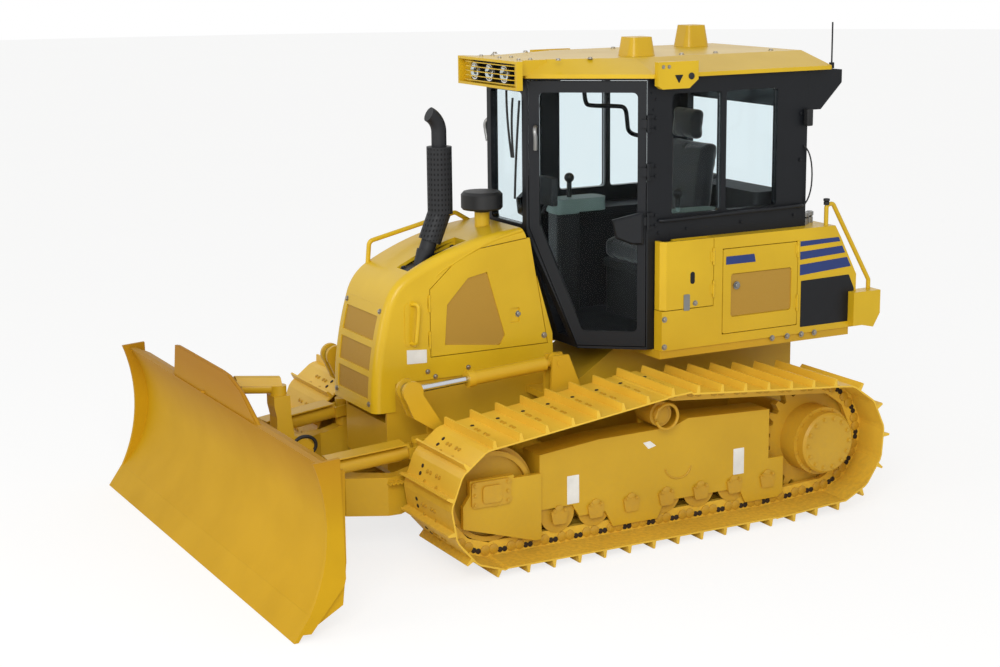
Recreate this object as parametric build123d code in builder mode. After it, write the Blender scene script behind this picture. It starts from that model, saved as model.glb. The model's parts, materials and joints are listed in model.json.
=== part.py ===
from build123d import *
from math import acos, atan2, cos, degrees, hypot, pi, radians, sin, tan
import os

# Bulldozer with a power-angle-tilt blade.  Millimetres, +X forward to the blade, +Y to the
# machine's left, +Z up.  The origin is on the ground at the middle of the overall length.

# ---- overall ----
half_length = 2187
running_gap = 0.3

# ---- undercarriage ----
track_middle_y = 959
shoe_width = 610
shoe_count = 39
grouser_height = 44
grouser_root = 26
grouser_tip = 12
plate_thickness = 10
link_above_pin = 38
link_below_pin = 48
rail_thickness = 34
rail_spread = 57
idler_x = 733
idler_pitch_radius = 312
sprocket_x = -1530
sprocket_z = 440
sprocket_pitch_radius = 326
sprocket_teeth = 24
sprocket_width = 56
roller_count = 7
roller_front_x = 306
roller_spacing = 246
roller_radius = 95
carrier_x = -400
carrier_z = 738.7
carrier_radius = 75
frame_half_width = 100
frame_floor_z = 352
side_plate = 18

# ---- hull and C-frame ----
hull_half_width = 300
hull_floor_z = 330
hull_top_z = 700
hull_front_x = 1040
hull_rear_x = -1900
pivot_x = 420
pivot_z = 430
pivot_pin_radius = 35
arm_y = 560
arm_width = 90
ball_x = 1600
ball_z = 460
tower_head_z = 890

# ---- cylinders: pin places in the machine's middle-plane coordinates ----
lift_rear = (30, 1015)
lift_front = (1010, 955)
lift_bore_radius = 42
lift_rod_radius = 22
pin_radius = 26
angle_rear = (960, 560, 600)
angle_front = (1800, 480, 520)
angle_bore_radius = 46
angle_rod_radius = 25
tilt_front = (1890, -150, 930)
tilt_bore_radius = 34
tilt_rod_radius = 18
eye_width = 50

# ---- blade ----
blade_half_width = 1625
blade_height = 916
edge_height = 130
edge_thickness = 20
skin_thickness = 12
curve_radius = 600
end_plate = 25
guard_height = 190

# ---- hood and nose ----
hood_half_width = 310
hood_floor_z = 940
nose_floor_z = 770
nose_step_x = 985
shoulder_radius = 50
sheet = 20
door_gap = 5

# ---- cab ----
cab_front_x = 60
cab_front_half = 250
cab_corner_x = -520
cab_half_width = 700
cab_rear_x = -1690
cab_floor_z = 1050
cab_top_z = 2705
roof_edge_z = 2688
cab_wall = 50
shelf_x = -680
shelf_z = 1715
glass_thickness = 8

# ---- rear body ----
cover_y = 790
cover_front_x = -568
cover_floor_z = 1050
cover_top_z = 1714.7


def left_face(y):
    """Sketch plane facing the machine's left side: x is forward, y is up, extrude goes inboard."""
    return Plane.XZ.offset(-y)


def save(part, name):
    part.label = name
    export_step(part, f"parts/{name}.step")


def save_pair(part, name):
    """Write the left-hand piece and its mirror image on the right."""
    save(part, f"{name}_left")
    save(mirror(part, about=Plane.XZ), f"{name}_right")


os.makedirs("parts", exist_ok=True)

# ======================= track loop =======================
ground_pin_z = grouser_height + plate_thickness + link_above_pin
idler_z = ground_pin_z + idler_pitch_radius
roller_z = ground_pin_z + link_below_pin + roller_radius + running_gap
last_roller_x = roller_front_x - (roller_count - 1) * roller_spacing
carrier_pin_radius = carrier_radius + link_below_pin + running_gap
roller_pin_radius = roller_radius + link_below_pin + running_gap

# wheels the chain wraps, in order of travel: x, z, radius of its pin line
wheels = [
    (idler_x, idler_z, idler_pitch_radius),
    (last_roller_x, roller_z, roller_pin_radius),
    (sprocket_x, sprocket_z, sprocket_pitch_radius),
    (carrier_x, carrier_z, carrier_pin_radius),
]


def tangent_heading(a, b):
    """Heading of the belt line that leaves wheel a and meets wheel b, both wrapped clockwise."""
    dx, dz = b[0] - a[0], b[1] - a[1]
    return atan2(dz, dx) + acos((a[2] - b[2]) / hypot(dx, dz)) - pi / 2


def chain_legs():
    """Lines and arcs of the pin line as tuples: length, start x, start z, heading, radius."""
    legs = []
    headings = [tangent_heading(w, wheels[(i + 1) % len(wheels)]) for i, w in enumerate(wheels)]
    for i, wheel in enumerate(wheels):
        turn = (headings[i - 1] - headings[i]) % (2 * pi)
        x, z, r = wheel
        start = headings[i - 1] + pi / 2
        legs.append((r * turn, x + r * cos(start), z + r * sin(start), headings[i - 1], r))
        leave = headings[i] + pi / 2
        x0, z0 = x + r * cos(leave), z + r * sin(leave)
        nx, nz, nr = wheels[(i + 1) % len(wheels)]
        x1, z1 = nx + nr * cos(leave), nz + nr * sin(leave)
        legs.append((hypot(x1 - x0, z1 - z0), x0, z0, headings[i], 0))
    return legs


def chain_place(legs, distance):
    """Point and heading on the pin line at a distance along it."""
    for length, x, z, heading, radius in legs:
        if distance <= length:
            if radius == 0:
                return x + distance * cos(heading), z + distance * sin(heading), heading
            side = heading + pi / 2
            cx, cz = x - radius * cos(side), z - radius * sin(side)
            side -= distance / radius
            return cx + radius * cos(side), cz + radius * sin(side), side - pi / 2
        distance -= length
    return chain_place(legs, distance)


def chain_points(corners):
    """Corner points round the loop, for corners (share of pitch along, height over the pins)."""
    legs = chain_legs()
    pitch = sum(leg[0] for leg in legs) / shoe_count
    points = []
    for shoe in range(shoe_count):
        x, z, heading = chain_place(legs, shoe * pitch)
        for along, up in corners:
            s = along * pitch
            points.append((
                x + s * cos(heading) - up * sin(heading),
                z + s * sin(heading) + up * cos(heading),
            ))
    return points


plate_top = link_above_pin + plate_thickness
grouser_top = plate_top + grouser_height
grouser_at = 0.28
# one shoe's outer corners: share of the pitch along it, height over the pin line
shoe_corners = [
    (-0.49, plate_top),
    (grouser_at - grouser_root / 336, plate_top),
    (grouser_at - grouser_tip / 336, grouser_top),
    (grouser_at + grouser_tip / 336, grouser_top),
    (grouser_at + grouser_root / 336, plate_top),
    (0.49, plate_top),
]
track_outer_y = track_middle_y + shoe_width / 2
with BuildPart() as track:
    with BuildSketch(left_face(track_outer_y)):
        with BuildLine():
            Polyline(*chain_points(shoe_corners), close=True)
        make_face()
        with BuildLine():
            Polyline(*chain_points([(-0.49, link_above_pin), (0.49, link_above_pin)]), close=True)
        make_face(mode=Mode.SUBTRACT)
    extrude(amount=shoe_width)
    for middle in (track_middle_y + rail_spread, track_middle_y - rail_spread):
        with BuildSketch(left_face(middle + rail_thickness / 2)):
            with BuildLine():
                rail_top = link_above_pin + plate_thickness / 2
                Polyline(*chain_points([(-0.49, rail_top), (0.49, rail_top)]), close=True)
            make_face()
            with BuildLine():
                rail_under = [(-0.4, -link_below_pin), (0.4, -link_below_pin)]
                Polyline(*chain_points(rail_under), close=True)
            make_face(mode=Mode.SUBTRACT)
        extrude(amount=rail_thickness)
save_pair(track.part, "track")

# ======================= idler, sprocket, rollers =======================
rail_outer = rail_spread + rail_thickness / 2
idler_tread = idler_pitch_radius - link_below_pin - running_gap
idler_axle_radius = 40
with BuildPart() as idler:
    with BuildSketch(left_face(track_middle_y) * Location((idler_x, idler_z))):
        Circle(idler_tread)
        Circle(idler_axle_radius + running_gap, mode=Mode.SUBTRACT)
    extrude(amount=rail_outer, both=True)
    with BuildSketch(left_face(track_middle_y) * Location((idler_x, idler_z))):
        Circle(idler_tread + 26)
        Circle(idler_tread - 10, mode=Mode.SUBTRACT)
    extrude(amount=rail_spread - rail_thickness / 2 - 6, both=True)
    for face in (idler.faces().sort_by(Axis.Y)[-1], idler.faces().sort_by(Axis.Y)[0]):
        with BuildSketch(Plane(face)):
            Circle(idler_tread - 28)
            Circle(95, mode=Mode.SUBTRACT)
        extrude(amount=-34, mode=Mode.SUBTRACT)
save_pair(idler.part, "idler")

cover_radius = 190
hub_inner_y = track_middle_y - 75
with BuildPart() as sprocket:
    with BuildSketch(left_face(track_middle_y) * Location((sprocket_x, sprocket_z))):
        tooth = 2 * pi / sprocket_teeth
        # share of a tooth round the wheel, height over the pin circle
        flanks = [(-0.36, -34), (-0.16, 16), (0.16, 16), (0.36, -34)]
        rim = [
            (
                (sprocket_pitch_radius + up) * cos((k + share) * tooth),
                (sprocket_pitch_radius + up) * sin((k + share) * tooth),
            )
            for k in range(sprocket_teeth)
            for share, up in flanks
        ]
        with BuildLine():
            Polyline(*rim, close=True)
        make_face()
    extrude(amount=sprocket_width / 2, both=True)
    with BuildSketch(left_face(track_middle_y + 171) * Location((sprocket_x, sprocket_z))):
        Circle(cover_radius + 22)
    extrude(amount=171 + track_middle_y - hub_inner_y)
    with BuildSketch(left_face(track_middle_y + 241) * Location((sprocket_x, sprocket_z))):
        Circle(cover_radius)
    extrude(amount=70)
    chamfer(sprocket.faces().sort_by(Axis.Y)[-1].edges(), 14)
save_pair(sprocket.part, "sprocket")

roller_half = frame_half_width - side_plate - running_gap
flange_inner = rail_outer + 2
core_half = rail_spread - rail_thickness / 2 - 5
# stretches of one roller across the track: from, to, radius
roller_steps = [
    (-roller_half, -flange_inner, roller_radius + 16),
    (-flange_inner, -core_half, roller_radius),
    (-core_half, core_half, roller_radius - 25),
    (core_half, flange_inner, roller_radius),
    (flange_inner, roller_half, roller_radius + 16),
]
with BuildPart() as rollers:
    for low, high, radius in roller_steps:
        across = left_face(track_middle_y - (low + high) / 2)
        roller_xs = [roller_front_x - k * roller_spacing for k in range(roller_count)]
        with Locations(*[across * Location((x, roller_z)) for x in roller_xs]):
            Cylinder(radius, high - low)
    with Locations(left_face(track_middle_y) * Location((carrier_x, carrier_z))):
        Cylinder(carrier_radius, 2 * roller_half)
save_pair(rollers.part, "rollers")

# ======================= track frame =======================
frame_outer_y = track_middle_y + frame_half_width
frame_front_x = 432
box_rear_x = -1178
frame_rear_x = -1290
yoke_front_x = 892
yoke_gap = 6
with BuildPart() as track_frame:
    with BuildSketch(left_face(frame_outer_y)):
        with BuildLine():
            Polyline(
                (frame_front_x, frame_floor_z), (frame_front_x, 608), (40, 648), (-480, 656),
                (-585, 694), (-1065, 676), (box_rear_x, 672), (box_rear_x, frame_floor_z),
                close=True,
            )
        make_face()
    extrude(amount=2 * frame_half_width)
    # side plates that hold the roller shafts, deeper where they guard the rollers
    for outer in (frame_outer_y, track_middle_y - frame_half_width + side_plate):
        with BuildSketch(left_face(outer)):
            with BuildLine():
                Polyline(
                    (frame_front_x, 360), (frame_rear_x, 360), (frame_rear_x, 130), (-1250, 105),
                    (-1010, 105), (-960, 205), (-420, 205), (-370, 105), (-60, 105), (-10, 205),
                    (170, 205), (215, 280), (frame_front_x, 280),
                    close=True,
                )
            make_face()
        extrude(amount=side_plate)
    # recoil housing and the fork round the idler
    fork_y = roller_half + yoke_gap
    for outer in (track_middle_y + fork_y + 30, track_middle_y - fork_y):
        with BuildSketch(left_face(outer)):
            with BuildLine():
                Polyline(
                    (frame_front_x, 112), (frame_front_x, 505), (611, 505), (611, 524),
                    (yoke_front_x, 524), (yoke_front_x, 440), (936, 379), (936, 250),
                    (476, 112), close=True,
                )
            make_face()
        extrude(amount=30)
    with Locations(left_face(track_middle_y) * Location((idler_x, idler_z))):
        Cylinder(idler_axle_radius, 2 * fork_y)
    # carrier roller post
    post_y = roller_half + running_gap
    with BuildSketch(left_face(track_middle_y - post_y)):
        with BuildLine():
            Polyline(
                (carrier_x - 60, 600), (carrier_x - 35, carrier_z + 30),
                (carrier_x + 35, carrier_z + 30), (carrier_x + 60, 600),
                close=True,
            )
        make_face()
    extrude(amount=frame_half_width - post_y)
save_pair(track_frame.part, "track_frame")

# ======================= hull =======================
frame_inner_y = track_middle_y - frame_half_width
# x, z, radius, outer end
cross_bars = [
    (120, 430, 78, frame_inner_y),
    (-900, 430, 90, frame_inner_y),
    (sprocket_x, sprocket_z, 150, hub_inner_y),
]
bracket_plate = 20
deck_rear_x = -1990
deck_half_width = 780
deck_front_x = -560
deck_thickness = 50
pivot_boss_y = arm_y - arm_width / 2 - 5
pin_end_y = arm_y + arm_width / 2 + 3
with BuildPart() as main_frame:
    with BuildSketch(left_face(hull_half_width)):
        with BuildLine():
            Polyline(
                (hull_front_x - 90, hull_floor_z), (hull_front_x, 420), (hull_front_x, hull_top_z),
                (-100, hull_top_z), (-560, cover_floor_z - deck_thickness),
                (hull_rear_x, cover_floor_z - deck_thickness), (hull_rear_x, 450),
                (hull_rear_x + 200, hull_floor_z),
                close=True,
            )
        make_face()
    extrude(amount=2 * hull_half_width)
    # side rails under the hood
    for side in (1, -1):
        with BuildSketch(left_face(hull_half_width if side > 0 else 20 - hull_half_width)):
            with BuildLine():
                Polyline(
                    (hull_front_x, 600), (hull_front_x, nose_floor_z - running_gap),
                    (nose_step_x - running_gap, nose_floor_z - running_gap),
                    (nose_step_x - running_gap, hood_floor_z - running_gap),
                    (-120, hood_floor_z - running_gap), (-400, 600),
                    close=True,
                )
            make_face()
        extrude(amount=20)
    # rear drawbar with its pin hole
    with BuildSketch(Plane.XY.offset(470)):
        with BuildLine():
            Polyline(
                (hull_rear_x + 20, -150), (-2060, -75), (-2120, -75), (-2120, 75), (-2060, 75),
                (hull_rear_x + 20, 150),
                close=True,
            )
        make_face()
        with Locations((-2060, 0)):
            Circle(27, mode=Mode.SUBTRACT)
    extrude(amount=60)
save(main_frame.part, "main_frame")

# what the hull's sides carry, each piece its own solid
mount_y = hull_half_width + running_gap
with BuildPart() as frame_mounts:
    for side in (1, -1):
        # boss, pin and cap that carry the C-frame
        for low, high, radius in (
            (mount_y, pivot_boss_y, 78),
            (pivot_boss_y, pin_end_y, pivot_pin_radius),
            (pin_end_y, pin_end_y + 16, 62),
        ):
            with Locations(left_face(side * (low + high) / 2) * Location((pivot_x, pivot_z))):
                Cylinder(radius, high - low)
        # bracket that carries the lift cylinder's rear eye
        bracket_low = arm_y - eye_width / 2 - 28
        bracket_high = arm_y + eye_width / 2 + 4
        for outer in (bracket_high + bracket_plate, bracket_low + bracket_plate):
            plane = left_face(outer if side > 0 else bracket_plate - outer)
            with BuildSketch(plane):
                with BuildLine():
                    Polyline(
                        (lift_rear[0] + 70, 800), (lift_rear[0] + 55, lift_rear[1] + 45),
                        (lift_rear[0] - 55, lift_rear[1] + 45), (lift_rear[0] - 160, 800),
                        close=True,
                    )
                make_face()
                with Locations(lift_rear):
                    Circle(pin_radius + running_gap, mode=Mode.SUBTRACT)
            extrude(amount=bracket_plate)
        with BuildSketch(Plane.XY.offset(780)):
            with Locations((lift_rear[0] - 45, side * (mount_y + bracket_high + bracket_plate) / 2)):
                Rectangle(230, bracket_high + bracket_plate - mount_y)
        extrude(amount=40)
        # cross bars and final drive, out to the track frame
        for x, z, radius, outer in cross_bars:
            with Locations(left_face(side * (mount_y + outer) / 2) * Location((x, z))):
                Cylinder(radius, outer - mount_y)
save(frame_mounts.part, "frame_mounts")

with BuildPart() as deck:
    with BuildSketch(Plane.XY.offset(cover_floor_z - deck_thickness + running_gap)):
        with Locations(((deck_front_x + deck_rear_x) / 2, 0)):
            Rectangle(deck_front_x - deck_rear_x, 2 * deck_half_width)
    extrude(amount=deck_thickness - 2 * running_gap)
save(deck.part, "deck")

with BuildPart() as engine_block:
    with BuildSketch(Plane.XY.offset(hull_top_z)):
        with Locations((480, 0)):
            Rectangle(760, 430)
    extrude(amount=720)
save(engine_block.part, "engine_block")

# ======================= C-frame =======================
eye_half = eye_width / 2
fork_plate = 25
fork_gap = 5
ear_thickness = 30
rear_lug_radius = 44
with BuildPart() as c_frame:
    # plan of the C: straight arms that curve in to the ball socket
    with BuildSketch(Plane.XY.offset(200)):
        with BuildLine():
            outer = arm_y + arm_width / 2
            inner = arm_y - arm_width / 2
            Polyline(
                (pivot_x - 80, inner), (pivot_x - 80, outer), (1180, outer), (1400, 500),
                (1500, 300), (1520, 90), (1520, -90), (1500, -300), (1400, -500), (1180, -outer),
                (pivot_x - 80, -outer), (pivot_x - 80, -inner), (1130, -inner), (1300, -410),
                (1390, -240), (1390, 240), (1300, 410), (1130, inner),
                close=True,
            )
        make_face()
    extrude(amount=500)
    with BuildSketch(left_face(700)):
        with BuildLine():
            Polyline(
                (pivot_x - 80, pivot_z - 75), (pivot_x - 80, pivot_z + 75), (700, 545), (900, 520),
                (1100, 470), (1560, 470), (1560, 245), (1100, 240), (900, 310), (700, 335),
                close=True,
            )
        make_face()
    extrude(amount=1400, mode=Mode.INTERSECT)
    for side in (1, -1):
        with Locations(left_face(side * arm_y) * Location((pivot_x, pivot_z))):
            Cylinder(pivot_pin_radius + running_gap, 2 * arm_width, mode=Mode.SUBTRACT)
        # fork that the lift rod pushes
        for middle in (arm_y - eye_half - fork_gap - fork_plate / 2,
                       arm_y + eye_half + fork_gap + fork_plate / 2):
            with BuildSketch(left_face(side * middle + fork_plate / 2)):
                with BuildLine():
                    Polyline(
                        (lift_front[0] - 62, lift_front[1] - 20), (690, 530), (880, 510),
                        (880, 715), (1010, 800), (lift_front[0] + 62, lift_front[1] - 10),
                        close=True,
                    )
                make_face()
                with Locations(lift_front):
                    Circle(64)
            extrude(amount=fork_plate)
        # lugs that carry the angle cylinder's rear joint
        for low, high in ((500, angle_rear[2] - 48), (angle_rear[2] + 48, angle_rear[2] + 70)):
            with BuildSketch(Plane.XY.offset(low)):
                with Locations((angle_rear[0], side * angle_rear[1])):
                    Circle(rear_lug_radius)
                with Locations((angle_rear[0] - 60, side * angle_rear[1])):
                    Rectangle(120, 2 * rear_lug_radius)
            extrude(amount=high - low)
    # tower over the ball socket
    with BuildSketch(left_face(60)):
        with BuildLine():
            Polyline(
                (1400, 300), (1400, 560), (1440, 605), (1530, 640), (1545, 760),
                (1550, tower_head_z), (1650, tower_head_z), (1650, 830), (1635, 760),
                (1640, 640), (1668, 590), (1668, 556), (1600, 556), (1600, 540), (1470, 540),
                (1470, 300), close=True,
            )
        make_face()
    extrude(amount=120)
    # ears above and below the ball block
    for low in (ball_z - 88, ball_z + 58):
        with BuildSketch(Plane.XY.offset(low)):
            with Locations((ball_x, 0)):
                Circle(78)
            with Locations((ball_x - 90, 0)):
                Rectangle(180, 156)
        extrude(amount=ear_thickness)
    with Locations((ball_x, 0, tower_head_z)):
        Cylinder(30 + running_gap, 140, mode=Mode.SUBTRACT)
save(c_frame.part, "c_frame")

# ======================= blade swivel =======================
trunnion_radius = 45
trunnion_length = 190
with BuildPart() as blade_swivel:
    with Locations((ball_x, 0, ball_z)):
        Cylinder(70, 2 * 58 - 2 * running_gap)
    with Locations(Plane.YZ.offset(ball_x + trunnion_length / 2) * Location((0, ball_z))):
        Cylinder(trunnion_radius, trunnion_length)
save(blade_swivel.part, "blade_swivel")

# ======================= blade =======================
edge_lean = (2187 - 2095, edge_height)
edge_length = hypot(*edge_lean)


def edge_point(up, deep):
    """Point of the cutting edge's section: up its front face from the tip, deep behind it."""
    along, rise = edge_lean[0] / edge_length, edge_lean[1] / edge_length
    return half_length - up * along - deep * rise, up * rise - deep * along


edge_top = edge_point(edge_length + running_gap, 0)
edge_back = edge_thickness + running_gap
skin_top = (2010, blade_height)
chord = hypot(skin_top[0] - edge_top[0], skin_top[1] - edge_top[1])
curve_sag = curve_radius - (curve_radius**2 - chord**2 / 4) ** 0.5
back = atan2(skin_top[0] - edge_top[0], skin_top[1] - edge_top[1])
skin_middle = (
    (edge_top[0] + skin_top[0]) / 2 - curve_sag * cos(back),
    (edge_top[1] + skin_top[1]) / 2 + curve_sag * sin(back),
)
back_x = 1880
tilt_run = hypot(tilt_front[0] - ball_x, tilt_front[1])
tilt_across = (-tilt_front[1] / tilt_run, (tilt_front[0] - ball_x) / tilt_run, 0)
tilt_eye_radius = 34
tilt_eye_width = 40
tilt_clevis_half = tilt_eye_width / 2 + 14
sleeve_radius = 85
sleeve_rear = ball_x + 90
lug_gap = 132
lug_plate = 24
with BuildPart() as blade:
    # rolled skin with the box sections behind it
    with BuildSketch(left_face(blade_half_width - end_plate)):
        with BuildLine():
            ThreePointArc(edge_top, skin_middle, skin_top)
            Polyline(
                skin_top, (skin_top[0] - 40, skin_top[1]), (1870, 865), (1870, 790),
                (skin_middle[0] - 30, 720), (skin_middle[0] - 30, 380), (1880, 330), (1900, 150),
                (2040, 70), edge_point(100, edge_back), edge_point(edge_length + running_gap, edge_back),
                edge_top,
            )
        make_face()
    extrude(amount=2 * (blade_half_width - end_plate))
    # end plates
    for side in (1, -1):
        outer = blade_half_width if side > 0 else end_plate - blade_half_width
        with BuildSketch(left_face(outer)):
            with BuildLine():
                ThreePointArc(edge_top, (1990, 500), (2052, 930))
                Polyline(
                    (2052, 930), (1905, 940), (1890, 300), (1900, 260), (2090, 34),
                    edge_point(60, edge_back), edge_point(edge_length + running_gap, edge_back),
                    edge_top,
                )
            make_face()
        extrude(amount=end_plate)
    # spill guard
    with BuildSketch(Plane.YZ.offset(skin_top[0] - 30)):
        with BuildLine():
            Polyline(
                (-715, 890), (-670, blade_height + guard_height), (240, blade_height + guard_height),
                (452, 1048), (725, 890), close=True,
            )
        make_face()
    extrude(amount=20)
    # clevis for the tilt rod
    clevis = Plane(origin=tilt_front, x_dir=(0, 0, 1), z_dir=tilt_across)
    with Locations(clevis):
        Cylinder(tilt_eye_radius + 12, 2 * tilt_clevis_half, mode=Mode.SUBTRACT)
    for low in (tilt_clevis_half, -tilt_clevis_half - 16):
        with BuildSketch(clevis.offset(low)):
            Circle(40)
            with Locations((-60, 60)):
                Rectangle(120, 120)
            with Locations((-60, 60)):
                Rectangle(60, 200)
        extrude(amount=16)
    # sleeve on the trunnion
    sleeve_front = 1900
    with Locations(Plane.YZ.offset((sleeve_rear + sleeve_front) / 2) * Location((0, ball_z))):
        Cylinder(sleeve_radius, sleeve_front - sleeve_rear)
        Cylinder(trunnion_radius + running_gap, sleeve_front - sleeve_rear, mode=Mode.SUBTRACT)
    for side in (1, -1):
        # lugs above and below the angle rod's eye
        for low in (angle_front[2] - lug_gap / 2 - lug_plate, angle_front[2] + lug_gap / 2):
            with BuildSketch(Plane.XY.offset(low)):
                with Locations((angle_front[0], side * angle_front[1])):
                    Circle(50)
                with Locations((angle_front[0] + 60, side * angle_front[1])):
                    Rectangle(120, 100)
            extrude(amount=lug_plate)
        with BuildSketch(Plane.XY.offset(angle_front[2] - lug_gap / 2 - lug_plate)):
            with Locations((back_x + 5, side * angle_front[1])):
                Rectangle(20, 130)
        extrude(amount=lug_gap + 2 * lug_plate)
    # nothing behind the skin reaches through its face
    with BuildSketch(left_face(blade_half_width - end_plate - running_gap)):
        with BuildLine():
            ThreePointArc(edge_top, skin_middle, skin_top)
            Polyline(skin_top, (half_length, skin_top[1]), (half_length, edge_top[1]), edge_top)
        make_face()
    extrude(amount=2 * (blade_half_width - end_plate - running_gap), mode=Mode.SUBTRACT)
save(blade.part, "blade")

edge_half = blade_half_width
with BuildPart() as cutting_edge:
    with BuildSketch(left_face(edge_half)):
        with BuildLine():
            foot = edge_thickness * edge_lean[0] / edge_lean[1]
            Polyline(
                edge_point(0, 0), edge_point(foot, edge_thickness),
                edge_point(edge_length, edge_thickness), edge_point(edge_length, 0),
                close=True,
            )
        make_face()
    extrude(amount=2 * edge_half)
save(cutting_edge.part, "cutting_edge")

# ======================= cylinders =======================


def cylinder_plane(rear, front):
    """Plane whose z runs from the rear pin to the front pin and whose x lies level."""
    run = Vector(*front) - Vector(*rear)
    level = Vector(-run.Y, run.X, 0) if hypot(run.X, run.Y) > 0 else Vector(0, 1, 0)
    return Plane(origin=rear, x_dir=level.normalized(), z_dir=run.normalized()), run.length


lift_from = (lift_rear[0], arm_y, lift_rear[1])
lift_to = (lift_front[0], arm_y, lift_front[1])
lift_plane, lift_length = cylinder_plane(lift_from, lift_to)
lift_barrel_end = 610
with BuildPart() as lift_barrel:
    with Locations(lift_plane * Location((0, 0, (lift_barrel_end + 85) / 2))):
        Cylinder(lift_bore_radius, lift_barrel_end - 85)
    with Locations(lift_plane * Location((0, 0, 65))):
        Cylinder(eye_half, 70)
    with Locations(lift_plane * Location((0, 0, lift_barrel_end - 22))):
        Cylinder(lift_bore_radius + 7, 44)
    with Locations(left_face(arm_y) * Location((lift_rear[0], lift_rear[1]))):
        Cylinder(52, eye_width)
        Cylinder(pin_radius, 2 * (eye_half + 27.5))
    with Locations(lift_plane * Location((0, 0, (lift_barrel_end + 110) / 2))):
        Cylinder(lift_rod_radius + running_gap, lift_barrel_end - 110, mode=Mode.SUBTRACT)
save_pair(lift_barrel.part, "lift_barrel")

with BuildPart() as lift_rod:
    with Locations(lift_plane * Location((0, 0, (380 + lift_length) / 2))):
        Cylinder(lift_rod_radius, lift_length - 380)
    with Locations(left_face(arm_y) * Location((lift_front[0], lift_front[1]))):
        Cylinder(46, eye_width)
save_pair(lift_rod.part, "lift_rod")

angle_plane, angle_length = cylinder_plane(angle_rear, angle_front)
angle_barrel_end = 560
angle_bore_start = 85
angle_rod_start = 305
yoke_radius = 36
yoke_pin_radius = 20
with BuildPart() as angle_yoke:
    with Locations(Location(angle_rear)):
        Cylinder(yoke_radius, 96 - 2 * running_gap)
    cross = Plane(origin=angle_rear, x_dir=(0, 0, 1), z_dir=angle_plane.x_dir)
    with Locations(cross):
        Cylinder(yoke_pin_radius, 126)
save_pair(angle_yoke.part, "angle_yoke")

with BuildPart() as angle_barrel:
    with Locations(angle_plane * Location((0, 0, (angle_barrel_end + 60) / 2))):
        Cylinder(angle_bore_radius, angle_barrel_end - 60)
    with Locations(angle_plane * Location((0, 0, angle_barrel_end - 22))):
        Cylinder(angle_bore_radius + 6, 44)
    # fork round the yoke
    for across in (-51, 51):
        with Locations(angle_plane * Location((across, 0, 22))):
            Box(20, 66, 110)
    with Locations(angle_plane * Location((0, 0, 68))):
        Box(122, 66, 20)
    with Locations(cross):
        Cylinder(yoke_pin_radius + running_gap, 140, mode=Mode.SUBTRACT)
    # guard plate over the barrel
    with Locations(angle_plane * Location((0, angle_bore_radius + 14, 325))):
        Box(130, 8, 470)
    for along in (200, 440):
        with Locations(angle_plane * Location((0, angle_bore_radius + 4, along))):
            Box(30, 20, 30)
    with Locations(angle_plane * Location((0, 0, (angle_barrel_end + angle_bore_start) / 2))):
        Cylinder(angle_rod_radius + running_gap, angle_barrel_end - angle_bore_start,
                 mode=Mode.SUBTRACT)
save_pair(angle_barrel.part, "angle_barrel")

with BuildPart() as angle_rod:
    with Locations(angle_plane * Location((0, 0, (angle_rod_start + angle_length) / 2))):
        Cylinder(angle_rod_radius, angle_length - angle_rod_start)
    with Locations(Location(angle_front)):
        Cylinder(40, eye_width - 6)
save_pair(angle_rod.part, "angle_rod")

tilt_rear = (ball_x, 0, tilt_front[2])
tilt_plane, tilt_length = cylinder_plane(tilt_rear, tilt_front)
tilt_barrel_end = 210
with BuildPart() as tilt_barrel:
    with Locations(Location((ball_x, 0, tower_head_z + 28))):
        Cylinder(48, 56 - 2 * running_gap)
    with Locations(Location((ball_x, 0, tower_head_z - 5))):
        Cylinder(30, 70)
    with Locations(tilt_plane * Location((0, 0, tilt_barrel_end / 2))):
        Cylinder(tilt_bore_radius, tilt_barrel_end)
    with Locations(tilt_plane * Location((0, 0, (tilt_barrel_end + 60) / 2))):
        Cylinder(tilt_rod_radius + running_gap, tilt_barrel_end - 60, mode=Mode.SUBTRACT)
save(tilt_barrel.part, "tilt_barrel")

with BuildPart() as tilt_rod:
    with Locations(tilt_plane * Location((0, 0, (110 + tilt_length) / 2))):
        Cylinder(tilt_rod_radius, tilt_length - 110)
    with Locations(clevis):
        Cylinder(tilt_eye_radius, tilt_eye_width)
save(tilt_rod.part, "tilt_rod")

# ======================= hood =======================


def hood_side(inset):
    """Side outline of the hood, drawn inset all round: leaning nose, rounded brow, long back."""
    with BuildSketch() as outline:
        with BuildLine():
            nose = ThreePointArc((1125, nose_floor_z), (1100, 1107), (1027, 1412))
            brow = TangentArc(nose @ 1, (890, 1578), tangent=nose % 1)
            back = TangentArc(brow @ 1, (112, 1795), tangent=brow % 1)
            Polyline(back @ 1, (-82, 1132), (-92, nose_floor_z), nose @ 0)
        make_face()
        if inset:
            offset(amount=-inset)
    return outline.sketch


def engine_door_outline(gap):
    """Outline of the engine door on the hood's side, drawn larger by the gap."""
    with BuildSketch() as outline:
        with BuildLine():
            Polyline(
                (-45, 1077), (72, 1735), (410, 1697), (578, 1628), (745, 1481), (745, 1077),
                close=True,
            )
        make_face()
        if gap:
            offset(amount=gap, kind=Kind.INTERSECTION)
    return outline.sketch


def hinge_knuckles(x, y, heights, radius, inner):
    """Knuckles of an upright hinge: the middle one with its pin, or the bored outer two."""
    for z in heights:
        if inner:
            with Locations((x, y, z + 41), (x, y, z - 41)):
                Cylinder(radius + 2, 22, mode=Mode.SUBTRACT)
            with Locations((x, y, z)):
                Cylinder(radius, 60)
                Cylinder(radius / 2, 98)
        else:
            with Locations((x, y, z + 41), (x, y, z - 41)):
                Cylinder(radius, 20)
            with Locations((x, y, z)):
                Cylinder(radius + 3, 61, mode=Mode.SUBTRACT)
                Cylinder(radius / 2 + running_gap, 110, mode=Mode.SUBTRACT)


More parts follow.
